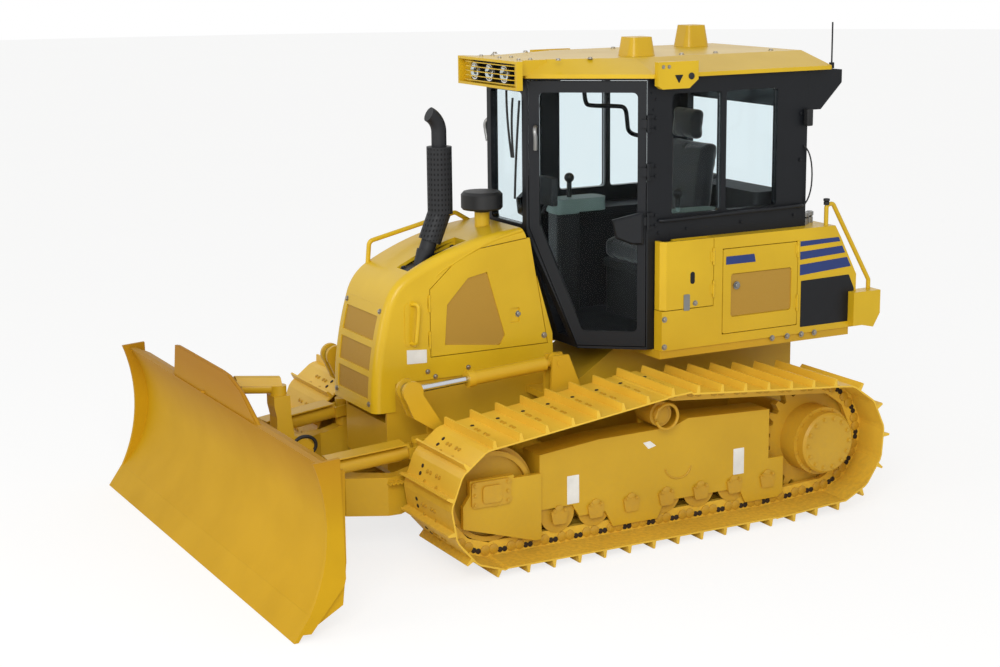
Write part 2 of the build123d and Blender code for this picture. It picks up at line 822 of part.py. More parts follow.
knuckle_radius = 8
engine_hinge = (752, hood_half_width + 3)
engine_hinge_heights = (1180, 1400)
grille_half = 250
grille_floor_z = 800
grille_top_z = 1400
# recess in the hood's top for the exhaust foot: front and rear ends of its floor
recess_front = (860, 1571)
recess_rear = (470, 1688)
recess_low_y = 95
recess_high_y = 250
pan = 12
with BuildPart() as hood:
    with BuildSketch(left_face(hood_half_width)):
        add(hood_side(0))
    extrude(amount=2 * hood_half_width)
    shoulders = hood.edges().filter_by(lambda e: abs(abs(e.center().Y) - hood_half_width) < 1)
    fillet(shoulders.filter_by(GeomType.CIRCLE), shoulder_radius)
    with BuildSketch(left_face(hood_half_width - sheet)):
        add(hood_side(sheet))
    extrude(amount=2 * (hood_half_width - sheet), mode=Mode.SUBTRACT)
    # pan of the exhaust recess
    with BuildSketch(left_face(recess_high_y + pan)):
        with BuildLine():
            Polyline(
                (recess_rear[0] - pan, recess_rear[1] - pan), (recess_rear[0] - pan, 1728),
                (recess_front[0] + pan, 1560), (recess_front[0] + pan, 1550), close=True,
            )
        make_face()
    extrude(amount=recess_high_y - recess_low_y + 2 * pan)
    with BuildSketch(left_face(recess_high_y)):
        with BuildLine():
            Polyline(recess_rear, (recess_rear[0], 1820), (recess_front[0], 1820), recess_front,
                     close=True)
        make_face()
    extrude(amount=recess_high_y - recess_low_y, mode=Mode.SUBTRACT)
    # open under the sides and under the nose
    with BuildSketch(left_face(hood_half_width + 1)):
        with BuildLine():
            Polyline(
                (-200, 700), (-200, hood_floor_z), (nose_step_x, hood_floor_z), (nose_step_x, 700),
                close=True,
            )
        make_face()
    extrude(amount=2 * hood_half_width + 2, mode=Mode.SUBTRACT)
    # doorways
    with BuildSketch(left_face(hood_half_width + 1)):
        add(engine_door_outline(door_gap))
    extrude(amount=2 * hood_half_width + 2, mode=Mode.SUBTRACT)
    for side in (1, -1):
        hinge_knuckles(engine_hinge[0], side * engine_hinge[1], engine_hinge_heights, knuckle_radius,
                       False)
    # nose opening
    with BuildSketch(Plane.YZ.offset(nose_step_x + 20)):
        with Locations((0, (grille_floor_z + grille_top_z) / 2)):
            Rectangle(2 * grille_half, grille_top_z - grille_floor_z)
    extrude(amount=200, mode=Mode.SUBTRACT)
save(hood.part, "hood")

mesh_half = 222
mesh_recess = 12
# nose mesh windows: floor and top
mesh_rows = [(1195, 1340), (1015, 1155), (845, 980)]
with BuildPart() as nose_grille:
    with BuildSketch(left_face(grille_half - running_gap)):
        add(hood_side(0))
    extrude(amount=2 * (grille_half - running_gap))
    with BuildSketch(left_face(grille_half)):
        add(hood_side(sheet))
    extrude(amount=2 * grille_half, mode=Mode.SUBTRACT)
    with BuildSketch(Plane.YZ.offset(nose_step_x + 20 + running_gap)):
        with Locations((0, (grille_floor_z + grille_top_z) / 2)):
            Rectangle(2 * grille_half, grille_top_z - grille_floor_z - 2 * running_gap)
    extrude(amount=200, mode=Mode.INTERSECT)
    for low, high in mesh_rows:
        with BuildSketch(left_face(mesh_half)):
            add(hood_side(0))
            add(hood_side(mesh_recess), mode=Mode.SUBTRACT)
            with Locations((1060, (low + high) / 2)):
                Rectangle(200, high - low, mode=Mode.INTERSECT)
        extrude(amount=2 * mesh_half, mode=Mode.SUBTRACT)
save(nose_grille.part, "nose_grille")

window_frame = 12
with BuildPart() as engine_door:
    with BuildSketch(left_face(hood_half_width)):
        add(engine_door_outline(0))
    extrude(amount=sheet)
    with BuildSketch(left_face(hood_half_width)):
        with BuildLine():
            Polyline(
                (247, 1155), (365, 1553), (493, 1529), (635, 1380), (653, 1139), (282, 1097),
                close=True,
            )
        make_face()
    extrude(amount=mesh_recess, mode=Mode.SUBTRACT)
    # latch pocket
    with BuildSketch(left_face(hood_half_width)):
        with Locations((177, 1271)):
            Rectangle(62, 90)
    extrude(amount=10, mode=Mode.SUBTRACT)
    for z in engine_hinge_heights:
        with Locations((engine_hinge[0] - 12, engine_hinge[1] - 3, z)):
            Box(22, 6, 60)
    hinge_knuckles(engine_hinge[0], engine_hinge[1], engine_hinge_heights, knuckle_radius, True)
save_pair(engine_door.part, "engine_door")

# ======================= exhaust and pre-cleaner =======================
stack_y = 160
stack_x = 596
foot_x = 738
pipe_radius = 45
shield_radius = 75
with BuildPart() as exhaust_stack:
    # foot plate that lies in the recess
    lean = atan2(recess_rear[1] - recess_front[1], recess_front[0] - recess_rear[0])
    plate_end_y = recess_high_y - 5
    with BuildSketch(left_face(plate_end_y)):
        with BuildLine():
            Polyline(
                (recess_front[0] - 5, recess_front[1] + 5 * tan(lean) + running_gap),
                (recess_front[0] - 5, recess_front[1] + 5 * tan(lean) + 10),
                (recess_rear[0] + 5, recess_rear[1] - 5 * tan(lean) + 10),
                (recess_rear[0] + 5, recess_rear[1] - 5 * tan(lean) + running_gap),
                close=True,
            )
        make_face()
    extrude(amount=plate_end_y - recess_low_y - 5)
    foot_z = recess_front[1] + (recess_front[0] - foot_x) * tan(lean) + 6
    foot = Plane(origin=(foot_x, stack_y, foot_z), x_dir=(0, 1, 0), z_dir=(sin(lean), 0, cos(lean)))
    with BuildSketch(foot):
        Circle(41)
    with BuildSketch(Plane(origin=(692, stack_y, 1690), x_dir=(0, 1, 0), z_dir=(-0.35, 0, 0.94))):
        Circle(58)
    loft()
    with BuildSketch(Plane(origin=(692, stack_y, 1690), x_dir=(0, 1, 0), z_dir=(-0.35, 0, 0.94))):
        Circle(48)
    extrude(amount=90)
    with BuildSketch(Plane(origin=(670, stack_y, 1745), x_dir=(0, 1, 0), z_dir=(-0.38, 0, 0.925))):
        Circle(shield_radius - 6)
    extrude(amount=185)
    with Locations((stack_x, stack_y, (1905 + 2305) / 2)):
        Cylinder(shield_radius, 400)
    # tail pipe that bends forward and ends in a slanted cut
    with BuildLine(Plane.XZ.offset(-stack_y)):
        tail_path = Polyline((stack_x, 2290), (stack_x, 2392))
        tail_bend = JernArc(start=tail_path @ 1, tangent=(0, 1), radius=120, arc_size=-62)
    with BuildSketch(Plane(origin=(stack_x, stack_y, 2290), z_dir=(0, 0, 1))):
        Circle(pipe_radius)
    sweep()
save(exhaust_stack.part, "exhaust_stack")

cleaner_x = 233
with BuildPart() as pre_cleaner:
    with BuildSketch(Plane.XZ):
        with BuildLine():
            Polyline(
                (cleaner_x, 1760), (cleaner_x + 46, 1760), (cleaner_x + 46, 1868),
                (cleaner_x + 60, 1885), (cleaner_x + 118, 1885), (cleaner_x + 128, 1897),
                (cleaner_x + 128, 1978), (cleaner_x + 112, 1995), (cleaner_x, 1998), close=True,
            )
        make_face()
    revolve(axis=Axis((cleaner_x, 0, 0), (0, 0, 1)))
    with BuildSketch(left_face(100)):
        add(hood_side(-running_gap))
    extrude(amount=200, mode=Mode.SUBTRACT)
save(pre_cleaner.part, "pre_cleaner")

# ======================= cab =======================
cab_side_run = hypot(cab_front_x - cab_corner_x, cab_half_width - cab_front_half)
side_cos = (cab_front_x - cab_corner_x) / cab_side_run
side_sin = (cab_half_width - cab_front_half) / cab_side_run
# door plane: x runs back along the angled side, y is up, z points out
door_plane = Plane(
    origin=(cab_front_x, cab_front_half, 0), x_dir=(-side_cos, side_sin, 0),
    z_dir=(side_sin, side_cos, 0),
)
firewall_turn_z = 1761
firewall_lean = 0.3475
tub_half = 430
tub_rear_x = -1350
floor_plate = 60


def cab_plan(inset):
    """Six-sided plan of the cab, drawn inset all round."""
    with BuildSketch() as plan:
        with BuildLine():
            Polyline(
                (cab_front_x, cab_front_half), (cab_corner_x, cab_half_width),
                (cab_rear_x, cab_half_width), (cab_rear_x, -cab_half_width),
                (cab_corner_x, -cab_half_width), (cab_front_x, -cab_front_half), close=True,
            )
        make_face()
        if inset:
            offset(amount=-inset, kind=Kind.INTERSECTION)
    return plan.sketch


door_top_z = roof_edge_z - 18


def door_outline(inset):
    """Outline of the cab door on its plane, drawn inset all round."""
    with BuildSketch() as outline:
        with BuildLine():
            Polyline(
                (18, door_top_z), (18, 1790), (306, 1070), (722, 1070), (722, door_top_z),
                close=True,
            )
        make_face()
        if inset:
            offset(amount=-inset, kind=Kind.INTERSECTION)
    return outline.sketch


def door_glass_outline(inset):
    """Outline of the pane in the cab door, drawn inset all round."""
    with BuildSketch() as outline:
        with BuildLine():
            Polyline(
                (80, door_top_z - 68), (80, 1812), (340, 1160), (672, 1160),
                (672, door_top_z - 68),
                close=True,
            )
        make_face()
        fillet(outline.vertices(), 30)
        if inset:
            offset(amount=-inset)
    return outline.sketch


hinge_out = 18
cab_knuckle = 11
cab_hinge = door_plane.from_local_coords(Vector(738, 0, hinge_out))
cab_hinge_heights = (2421, 2134, 1839)
# panes in the cab's walls: plane, middle across, middle up, width, height
front_pane = (Plane.YZ.offset(cab_front_x), 0, 2200, 400, 800)
rear_pane = (Plane.YZ.offset(cab_rear_x + cab_wall), 0, 2215, 1120, 730)
side_panes = [(-868, 2226, 356, 726), (-1272, 2226, 380, 726)]
mid_wall = (cab_wall + glass_thickness) / 2
with BuildPart() as cab_shell:
    with BuildSketch(Plane.XY.offset(cab_floor_z)):
        add(cab_plan(0))
    extrude(amount=cab_top_z - cab_floor_z)
    with BuildSketch(Plane.XY.offset(cab_floor_z + floor_plate)):
        add(cab_plan(cab_wall))
    extrude(amount=cab_top_z - cab_floor_z, mode=Mode.SUBTRACT)
    # the rear half stops at the shelf, with the footwell tub below it
    with BuildSketch(Plane.XY.offset(cab_floor_z)):
        with Locations(((shelf_x + cab_rear_x) / 2, 0)):
            Rectangle(shelf_x - cab_rear_x + 1, 2 * cab_half_width + 2)
    extrude(amount=shelf_z + cab_wall - cab_floor_z)
    with BuildSketch(Plane.XY.offset(cab_floor_z)):
        with Locations(((shelf_x + cab_rear_x) / 2 - 50, 0)):
            Rectangle(shelf_x - cab_rear_x + 100, 2 * cab_half_width + 10)
        with Locations(((shelf_x + tub_rear_x) / 2, 0)):
            Rectangle(shelf_x - tub_rear_x + 1, 2 * tub_half, mode=Mode.SUBTRACT)
    extrude(amount=shelf_z - cab_floor_z, mode=Mode.SUBTRACT)
    with BuildSketch(Plane.XY.offset(cab_floor_z + floor_plate)):
        with Locations(((shelf_x + tub_rear_x + cab_wall) / 2 + 50, 0)):
            Rectangle(shelf_x - tub_rear_x - cab_wall + 100, 2 * (tub_half - cab_wall))
    extrude(amount=shelf_z, mode=Mode.SUBTRACT)
    with BuildSketch(Plane.XY.offset(cab_top_z - 1)):
        add(cab_plan(0))
    extrude(amount=shelf_z, mode=Mode.SUBTRACT)
    # the firewall leans back below the windscreen
    with BuildSketch(left_face(cab_half_width + 1)):
        with BuildLine():
            low_x = cab_front_x - firewall_lean * (firewall_turn_z - cab_floor_z + 10)
            Polyline(
                (cab_front_x, firewall_turn_z), (cab_front_x + 90, firewall_turn_z),
                (cab_front_x + 90, cab_floor_z - 10), (low_x, cab_floor_z - 10), close=True,
            )
        make_face()
    extrude(amount=2 * cab_half_width + 2, mode=Mode.SUBTRACT)
    with BuildSketch(left_face(cab_front_half - 20)):
        with BuildLine():
            Polyline(
                (cab_front_x, firewall_turn_z + 30), (cab_front_x - cab_wall, firewall_turn_z + 30),
                (low_x - cab_wall, cab_floor_z + 5), (low_x + 4, cab_floor_z + 5),
                (cab_front_x, firewall_turn_z), close=True,
            )
        make_face()
    extrude(amount=2 * (cab_front_half - 20))
    # doorways
    with BuildSketch(door_plane.offset(30)):
        add(door_outline(-door_gap))
    extrude(amount=-cab_wall - 60, mode=Mode.SUBTRACT)
    with BuildSketch(Plane(
        origin=(cab_front_x, -cab_front_half, 0), x_dir=(-side_cos, -side_sin, 0),
        z_dir=(-side_sin, side_cos, 0),
    ).offset(cab_wall + 30)):
        add(door_outline(-door_gap))
    extrude(amount=-cab_wall - 60, mode=Mode.SUBTRACT)
    # window openings
    for plane, across, up, width, height in (front_pane, rear_pane):
        with BuildSketch(plane.offset(5)):
            with Locations((across, up)):
                RectangleRounded(width, height, 25)
        extrude(amount=-cab_wall - 10, mode=Mode.SUBTRACT)
    with BuildSketch(left_face(cab_half_width + 5)):
        for middle_x, middle_z, width, height in side_panes:
            with Locations((middle_x, middle_z)):
                RectangleRounded(width, height, 25)
    extrude(amount=2 * cab_half_width + 10, mode=Mode.SUBTRACT)
    # hinge brackets on the pillars
    for side in (1, -1):
        for z in cab_hinge_heights:
            with Locations((cab_hinge.X - 22, side * (cab_half_width + 6), z + 41),
                           (cab_hinge.X - 22, side * (cab_half_width + 6), z - 41)):
                Box(44, 14, 20)
        hinge_knuckles(cab_hinge.X, side * cab_hinge.Y, cab_hinge_heights, cab_knuckle, False)

with BuildPart() as cab_tub:
    add(cab_shell.part)
    split(bisect_by=Plane.XY.offset(shelf_z - running_gap), keep=Keep.BOTTOM)
save(cab_tub.part, "cab_tub")

with BuildPart() as cab_frame:
    add(cab_shell.part)
    split(bisect_by=Plane.XY.offset(shelf_z), keep=Keep.TOP)
save(cab_frame.part, "cab_frame")

with BuildPart() as cab_glass:
    for plane, across, up, width, height in (front_pane, rear_pane):
        with BuildSketch(plane.offset(-mid_wall + glass_thickness)):
            with Locations((across, up)):
                RectangleRounded(width - 2 * running_gap, height - 2 * running_gap, 25)
        extrude(amount=-glass_thickness)
    for outer in (cab_half_width - mid_wall + glass_thickness, -cab_half_width + mid_wall):
        with BuildSketch(left_face(outer)):
            for middle_x, middle_z, width, height in side_panes:
                with Locations((middle_x, middle_z)):
                    RectangleRounded(width - 2 * running_gap, height - 2 * running_gap, 25)
        extrude(amount=glass_thickness)
save(cab_glass.part, "cab_glass")

door_thickness = 40
with BuildPart() as cab_door:
    with BuildSketch(door_plane):
        add(door_outline(0))
        add(door_glass_outline(0), mode=Mode.SUBTRACT)
    extrude(amount=-door_thickness)
    # hinge straps out to the pin
    for z in cab_hinge_heights:
        with Locations(door_plane * Location((705, z, 6))):
            Box(30, 50, 18)
        with Locations(door_plane * Location((720, z, hinge_out))):
            Box(36, 50, 8)
    hinge_knuckles(cab_hinge.X, cab_hinge.Y, cab_hinge_heights, cab_knuckle, True)
    # pull handle
    with BuildSketch(door_plane.offset(4)):
        with Locations((50, 2335)):
            RectangleRounded(26, 150, 12)
    extrude(amount=14, both=True)
save_pair(cab_door.part, "cab_door")

with BuildPart() as door_glass:
    with BuildSketch(door_plane.offset(-16)):
        add(door_glass_outline(running_gap))
    extrude(amount=-glass_thickness)
save_pair(door_glass.part, "door_glass")

# ======================= roof =======================
roof_rim_z = 2712
roof_top_z = 2795
roof_rear_x = -1830
roof_rim_y = 748
roof_crown_y = 490
# half of the rim's plan and of the crown's: x, y
rim_half_plan = [(80, 290), (-530, roof_rim_y), (roof_rear_x, roof_rim_y)]
crown_half_plan = [(20, 250), (-560, roof_crown_y), (-1790, roof_crown_y)]
visor_x = 190
visor_rear_x = 110
visor_half = 380
visor_floor_z = 2625
visor_sheet = 16
bracket_xs = (-540, -823)
bracket_outer_y = 775
bracket_inner_y = 737
notch_outer_y = 790
bracket_floor_z = 2624


def mirrored_face(half_plan):
    """Closed outline through the half plan's points and their mirror images."""
    with BuildSketch() as plan:
        with BuildLine():
            Polyline(*half_plan, *[(x, -y) for x, y in reversed(half_plan)], close=True)
        make_face()
    return plan.sketch


with BuildPart() as roof:
    with BuildSketch(Plane.XY.offset(roof_edge_z)):
        add(mirrored_face(rim_half_plan))
    extrude(amount=roof_rim_z - roof_edge_z)
    with BuildSketch(Plane.XY.offset(roof_rim_z)):
        add(mirrored_face(rim_half_plan))
    with BuildSketch(Plane.XY.offset(roof_top_z)):
        add(mirrored_face(crown_half_plan))
    loft(ruled=True)
    # flat top that runs forward into the visor
    with BuildSketch(Plane.XY.offset(cab_top_z)):
        with Locations(((visor_rear_x - 60) / 2, 0)):
            Rectangle(visor_rear_x + 60 - 2 * running_gap, 2 * 300)
    extrude(amount=roof_top_z - cab_top_z)
    # recess over the cab and its tail
    with BuildSketch(Plane.XY.offset(roof_edge_z - 1)):
        add(cab_plan(-10))
        with Locations((cab_rear_x - 60, 0)):
            Rectangle(200, 2 * cab_half_width + 20)
    extrude(amount=cab_top_z + running_gap - roof_edge_z + 1, mode=Mode.SUBTRACT)
    bracket_length = bracket_xs[0] - bracket_xs[1]
    bracket_middle_x = (bracket_xs[0] + bracket_xs[1]) / 2
    for side in (1, -1):
        # notch in the rim for the side bracket
        with BuildSketch(Plane.XY.offset(roof_edge_z - 1)):
            with Locations((bracket_middle_x, side * (notch_outer_y + bracket_inner_y) / 2)):
                Rectangle(
                    bracket_length + 2 * running_gap,
                    notch_outer_y - bracket_inner_y + 2 * running_gap,
                )
        extrude(amount=roof_top_z - roof_edge_z, mode=Mode.SUBTRACT)
    for side in (1, -1):
        with BuildSketch(left_face(bracket_outer_y if side > 0 else -bracket_inner_y)):
            with BuildLine():
                Polyline(
                    (bracket_xs[0], bracket_floor_z + 20), (bracket_xs[0], 2784),
                    (bracket_xs[1], 2784), (bracket_xs[1], bracket_floor_z + 50),
                    (-760, bracket_floor_z), (-570, bracket_floor_z), close=True,
                )
            make_face()
        extrude(amount=bracket_outer_y - bracket_inner_y)
    # visor shell round the lamps, open to the front
    visor_half_plan = [(visor_x, visor_half), (150, visor_half), (visor_rear_x, 300)]
    with BuildSketch(Plane.XY.offset(visor_floor_z)):
        add(mirrored_face(visor_half_plan))
    extrude(amount=roof_top_z - visor_floor_z)
    with BuildSketch(Plane.YZ.offset(visor_rear_x + visor_sheet)):
        with Locations((0, (visor_floor_z + roof_top_z) / 2)):
            Rectangle(560, roof_top_z - visor_floor_z - 2 * visor_sheet)
    extrude(amount=visor_x, mode=Mode.SUBTRACT)
    with BuildSketch(Plane.YZ.offset(150)):
        with Locations((0, (visor_floor_z + roof_top_z) / 2)):
            Rectangle(2 * (visor_half - visor_sheet), roof_top_z - visor_floor_z - 2 * visor_sheet)
    extrude(amount=visor_x, mode=Mode.SUBTRACT)
save(roof.part, "roof")

lamp_ys = (-190, 0, 190)
lamp_radius = 58
lamp_middle_z = (visor_floor_z + roof_top_z) / 2
lamp_board_x = visor_rear_x + visor_sheet + running_gap
with BuildPart() as roof_lamps:
    with BuildSketch(Plane.YZ.offset(lamp_board_x)):
        with Locations((0, lamp_middle_z)):
            Rectangle(550, 120)
    extrude(amount=6)
    for y in lamp_ys:
        with Locations(Plane.YZ.offset(lamp_board_x + 20) * Location((y, lamp_middle_z))):
            Cylinder(lamp_radius, 36)
save(roof_lamps.part, "roof_lamps")

tail_rear_x = -1949
tail_rear_z = 2680
with BuildPart() as roof_tail:
    with BuildSketch(left_face(cab_half_width)):
        with BuildLine():
            Polyline(
                (cab_rear_x - running_gap, 2440), (cab_rear_x - running_gap, cab_top_z),
                (tail_rear_x, tail_rear_z), (tail_rear_x, 2600), (-1790, 2440), close=True,
            )
        make_face()
    extrude(amount=2 * cab_half_width)
save(roof_tail.part, "roof_tail")

with BuildPart() as receivers:
    # receiver domes on the roof: x, y, top
    for x, y, top in ((-687, 300, 2908), (-1488, -300, 2933)):
        with BuildSketch(Plane.XY.offset(roof_top_z + running_gap)):
            with Locations((x, y)):
                RectangleRounded(190, 190, 50)
        extrude(amount=top - roof_top_z - running_gap, taper=10)
save(receivers.part, "receivers")

antenna_x = -1890
antenna_y = 670
tail_fall = (cab_top_z - tail_rear_z) / (cab_rear_x - tail_rear_x)
antenna_foot_z = cab_top_z - tail_fall * (cab_rear_x - antenna_x) + 2
with BuildPart() as whip_antenna:
    with Locations((antenna_x, antenna_y, antenna_foot_z + 18)):
        Cylinder(16, 36)
    with Locations((antenna_x, antenna_y, (antenna_foot_z + 2972) / 2)):
        Cylinder(5, 2972 - antenna_foot_z)
save(whip_antenna.part, "whip_antenna")

# ======================= cab interior =======================
cab_inner_floor = cab_floor_z + floor_plate
seat_half = 260
with BuildPart() as seat_base:
    with BuildSketch(Plane.XY.offset(cab_inner_floor + running_gap)):
        with Locations((-1010, 0)):
            RectangleRounded(460, 460, 40)
    extrude(amount=340)
save(seat_base.part, "seat_base")

seat_floor_z = cab_inner_floor + 340 + 2 * running_gap
with BuildPart() as seat:
    with BuildSketch(left_face(seat_half)):
        with BuildLine():
            Polyline(
                (-740, seat_floor_z), (-740, 1590), (-770, 1605), (-1130, 1585), (-1220, 2278),
                (-1330, 2260), (-1290, 1600), (-1240, seat_floor_z), close=True,
            )
        make_face()
    extrude(amount=2 * seat_half)
    fillet(seat.edges().filter_by(Axis.Y), 18)
    with BuildSketch(left_face(150)):
        with BuildLine():
            Polyline((-1225, 2262), (-1200, 2330), (-1215, 2445), (-1290, 2445), (-1320, 2240),
                     close=True)
        make_face()
    extrude(amount=300)
save(seat.part, "seat")

shelf_top_z = shelf_z + cab_wall
console_y = 370
pod_height = 85
with BuildPart() as console_right:
    with BuildSketch(Plane.XY.offset(cab_inner_floor + running_gap)):
        with Locations((-560, -console_y)):
            RectangleRounded(170, 150, 30)
    extrude(amount=shelf_top_z - cab_inner_floor)
    with BuildSketch(Plane.XY.offset(shelf_top_z + running_gap)):
        with Locations((-650, -console_y)):
            RectangleRounded(390, 180, 60)
    extrude(amount=pod_height)
    # blade lever
    with Locations((-600, -console_y, shelf_top_z + pod_height + 60)):
        Cylinder(16, 130)
    with Locations((-600, -console_y, shelf_top_z + pod_height + 130)):
        Sphere(32)
save(console_right.part, "console_right")

with BuildPart() as console_left:
    with BuildSketch(Plane.XY.offset(shelf_top_z + running_gap)):
        with Locations((-1040, console_y + 30)):
            RectangleRounded(380, 200, 60)
    extrude(amount=pod_height - 20)
    # travel lever
    with Locations((-930, console_y + 30, shelf_top_z + pod_height + 20)):
        Cylinder(16, 120)
    with Locations((-930, console_y + 30, shelf_top_z + pod_height + 90)):
        Sphere(32)
save(console_left.part, "console_left")

with BuildPart() as rear_console:
    with BuildSketch(Plane.XY.offset(shelf_z + cab_wall + running_gap)):
        with Locations((-1500, 0)):
            RectangleRounded(240, 1180, 30)
    extrude(amount=170)
save(rear_console.part, "rear_console")

# ======================= rear body =======================
cover_split_z = 1298
cover_rear_x = -937
body_front_x = cover_rear_x - door_gap
body_rear_x = -2035
panel = 22
tub_clear = 12
service_front_x = -1010
service_rear_x = -1570
service_floor_z = 1112
service_top_z = 1636
side_hinge = (cover_rear_x - 2, cover_y + 3)
side_hinge_heights = (1400, 1600)
service_hinge = (service_rear_x - 2, cover_y + 3)
service_hinge_heights = (1250, 1590)
rear_door_half = 520
rear_hinge = (body_rear_x - 3, rear_door_half + 2)
rear_hinge_heights = (1190, 1320)
rear_door_floor_z = 1120
rear_door_top_z = 1385
bracket_top_z = 1282
with BuildPart() as rear_body:
    with BuildSketch(left_face(cover_y)):
        with BuildLine():
            Polyline(
                (body_front_x, cover_floor_z), (body_front_x, cover_top_z), (-1860, cover_top_z),
                (-1905, 1639), (body_rear_x, 1390), (body_rear_x, cover_floor_z), close=True,
            )
        make_face()
    extrude(amount=2 * cover_y)
    for side in (1, -1):
        # fixed lower panel in front, and the tank behind the hinged cover
        with BuildSketch(Plane.XY.offset(cover_floor_z)):
            with Locations(((cover_front_x + body_front_x) / 2, side * (cover_y + cab_half_width + 6) / 2)):
                Rectangle(cover_front_x - body_front_x + 1, cover_y - cab_half_width - 6)
        extrude(amount=cover_split_z - door_gap - cover_floor_z)
        with BuildSketch(Plane.XY.offset(cover_floor_z)):
            middle_y = side * (tub_half + tub_clear + cab_half_width + 10) / 2
            with Locations(((shelf_x + body_front_x - 12) / 2, middle_y)):
                Rectangle(shelf_x - 12 - body_front_x + 1, cab_half_width + 10 - tub_half - tub_clear)
        extrude(amount=cover_top_z - cover_floor_z)
        # bay behind the service door
        with BuildSketch(left_face(cover_y + 1 if side > 0 else 230 - cover_y)):
            with Locations(((service_front_x + service_rear_x) / 2, (service_floor_z + service_top_z) / 2)):
                Rectangle(service_front_x - service_rear_x - 30, service_top_z - service_floor_z - 30)
        extrude(amount=231, mode=Mode.SUBTRACT)
        with BuildSketch(left_face(cover_y + 1 if side > 0 else panel - cover_y + door_gap)):
            with Locations(((service_front_x + service_rear_x) / 2, (service_floor_z + service_top_z) / 2)):
                Rectangle(
                    service_front_x - service_rear_x + 2 * door_gap,
                    service_top_z - service_floor_z + 2 * door_gap,
                )
        extrude(amount=panel + door_gap + 1, mode=Mode.SUBTRACT)
    # well for the cab's tub
    with BuildSketch(Plane.XY.offset(cover_floor_z - 1)):
        with Locations(((tub_rear_x - tub_clear + shelf_x) / 2 + 20, 0)):
            Rectangle(shelf_x - tub_rear_x + tub_clear + 40, 2 * (tub_half + tub_clear))
    extrude(amount=cover_top_z, mode=Mode.SUBTRACT)
    # radiator bay behind the rear grille
    with BuildSketch(Plane.YZ.offset(body_rear_x - 1)):
        with Locations((0, (rear_door_floor_z + rear_door_top_z) / 2)):
            Rectangle(2 * rear_door_half - 40, rear_door_top_z - rear_door_floor_z - 40)
    extrude(amount=200, mode=Mode.SUBTRACT)
    with BuildSketch(Plane.YZ.offset(body_rear_x - 1)):
        with Locations((0, (rear_door_floor_z + rear_door_top_z) / 2)):
            Rectangle(2 * rear_door_half + 2 * door_gap,
                      rear_door_top_z - rear_door_floor_z + 2 * door_gap)
    extrude(amount=panel + door_gap + 1, mode=Mode.SUBTRACT)
    hinge_knuckles(rear_hinge[0], rear_hinge[1], rear_hinge_heights, knuckle_radius, False)
    # door hinges and rear brackets
    for side in (1, -1):
        hinge_knuckles(side_hinge[0], side * side_hinge[1], side_hinge_heights, knuckle_radius,
                       False)
        hinge_knuckles(service_hinge[0], side * service_hinge[1], service_hinge_heights,
                       knuckle_radius, False)
        with BuildSketch(left_face(850 if side > 0 else -745)):
            with BuildLine():
                Polyline(
                    (body_rear_x + 60, 1066), (body_rear_x + 60, bracket_top_z),
                    (-half_length, bracket_top_z), (-half_length, 1132), (-2135, 1046),
                    (-2045, 1066), close=True,
                )
            make_face()
        extrude(amount=105)
save(rear_body.part, "rear_body")

with BuildPart() as side_cover:
    with BuildSketch(Plane.XY.offset(cover_split_z)):
        with BuildLine():
            Polyline(
                (cover_rear_x, cover_y), (cover_front_x - 30, cover_y), (cover_front_x, cover_y - 30),
                (cover_front_x, cab_half_width + 8), (cover_front_x - panel, cab_half_width + 8),
                (cover_front_x - panel, cover_y - 36), (cover_front_x - 36, cover_y - panel),
                (cover_rear_x, cover_y - panel), close=True,
            )
        make_face()
    extrude(amount=cover_top_z - cover_split_z)
    for z in side_hinge_heights:
        with Locations((cover_rear_x + 10, cover_y - 1, z)):
            Box(24, 8, 60)
    hinge_knuckles(side_hinge[0], side_hinge[1], side_hinge_heights, knuckle_radius, True)
save_pair(side_cover.part, "side_cover")

with BuildPart() as service_door:
    with BuildSketch(left_face(cover_y)):
        with Locations(((service_front_x + service_rear_x) / 2, (service_floor_z + service_top_z) / 2)):
            RectangleRounded(service_front_x - service_rear_x, service_top_z - service_floor_z, 12)
    extrude(amount=panel)
    with BuildSketch(left_face(cover_y)):
        with Locations((-1297, 1345)):
            RectangleRounded(457, 270, 20)
    extrude(amount=mesh_recess, mode=Mode.SUBTRACT)
    for z in service_hinge_heights:
        with Locations((service_rear_x + 8, cover_y - 1, z)):
            Box(24, 8, 60)
    hinge_knuckles(service_hinge[0], service_hinge[1], service_hinge_heights, knuckle_radius,
                   True)
save_pair(service_door.part, "service_door")

with BuildPart() as rear_grille:
    with BuildSketch(Plane.YZ.offset(body_rear_x)):
        with Locations((0, (rear_door_floor_z + rear_door_top_z) / 2)):
            RectangleRounded(2 * rear_door_half, rear_door_top_z - rear_door_floor_z, 12)
    extrude(amount=panel)
    with BuildSketch(Plane.YZ.offset(body_rear_x - 1)):
        with GridLocations(0, 34, 1, 6):
            with Locations((0, (rear_door_floor_z + rear_door_top_z) / 2)):
                Rectangle(920, 18)
    extrude(amount=panel + 2, mode=Mode.SUBTRACT)
    for z in rear_hinge_heights:
        with Locations((body_rear_x + 1, rear_door_half - 8, z)):
            Box(8, 24, 60)
    hinge_knuckles(rear_hinge[0], rear_hinge[1], rear_hinge_heights, knuckle_radius, True)
save(rear_grille.part, "rear_grille")

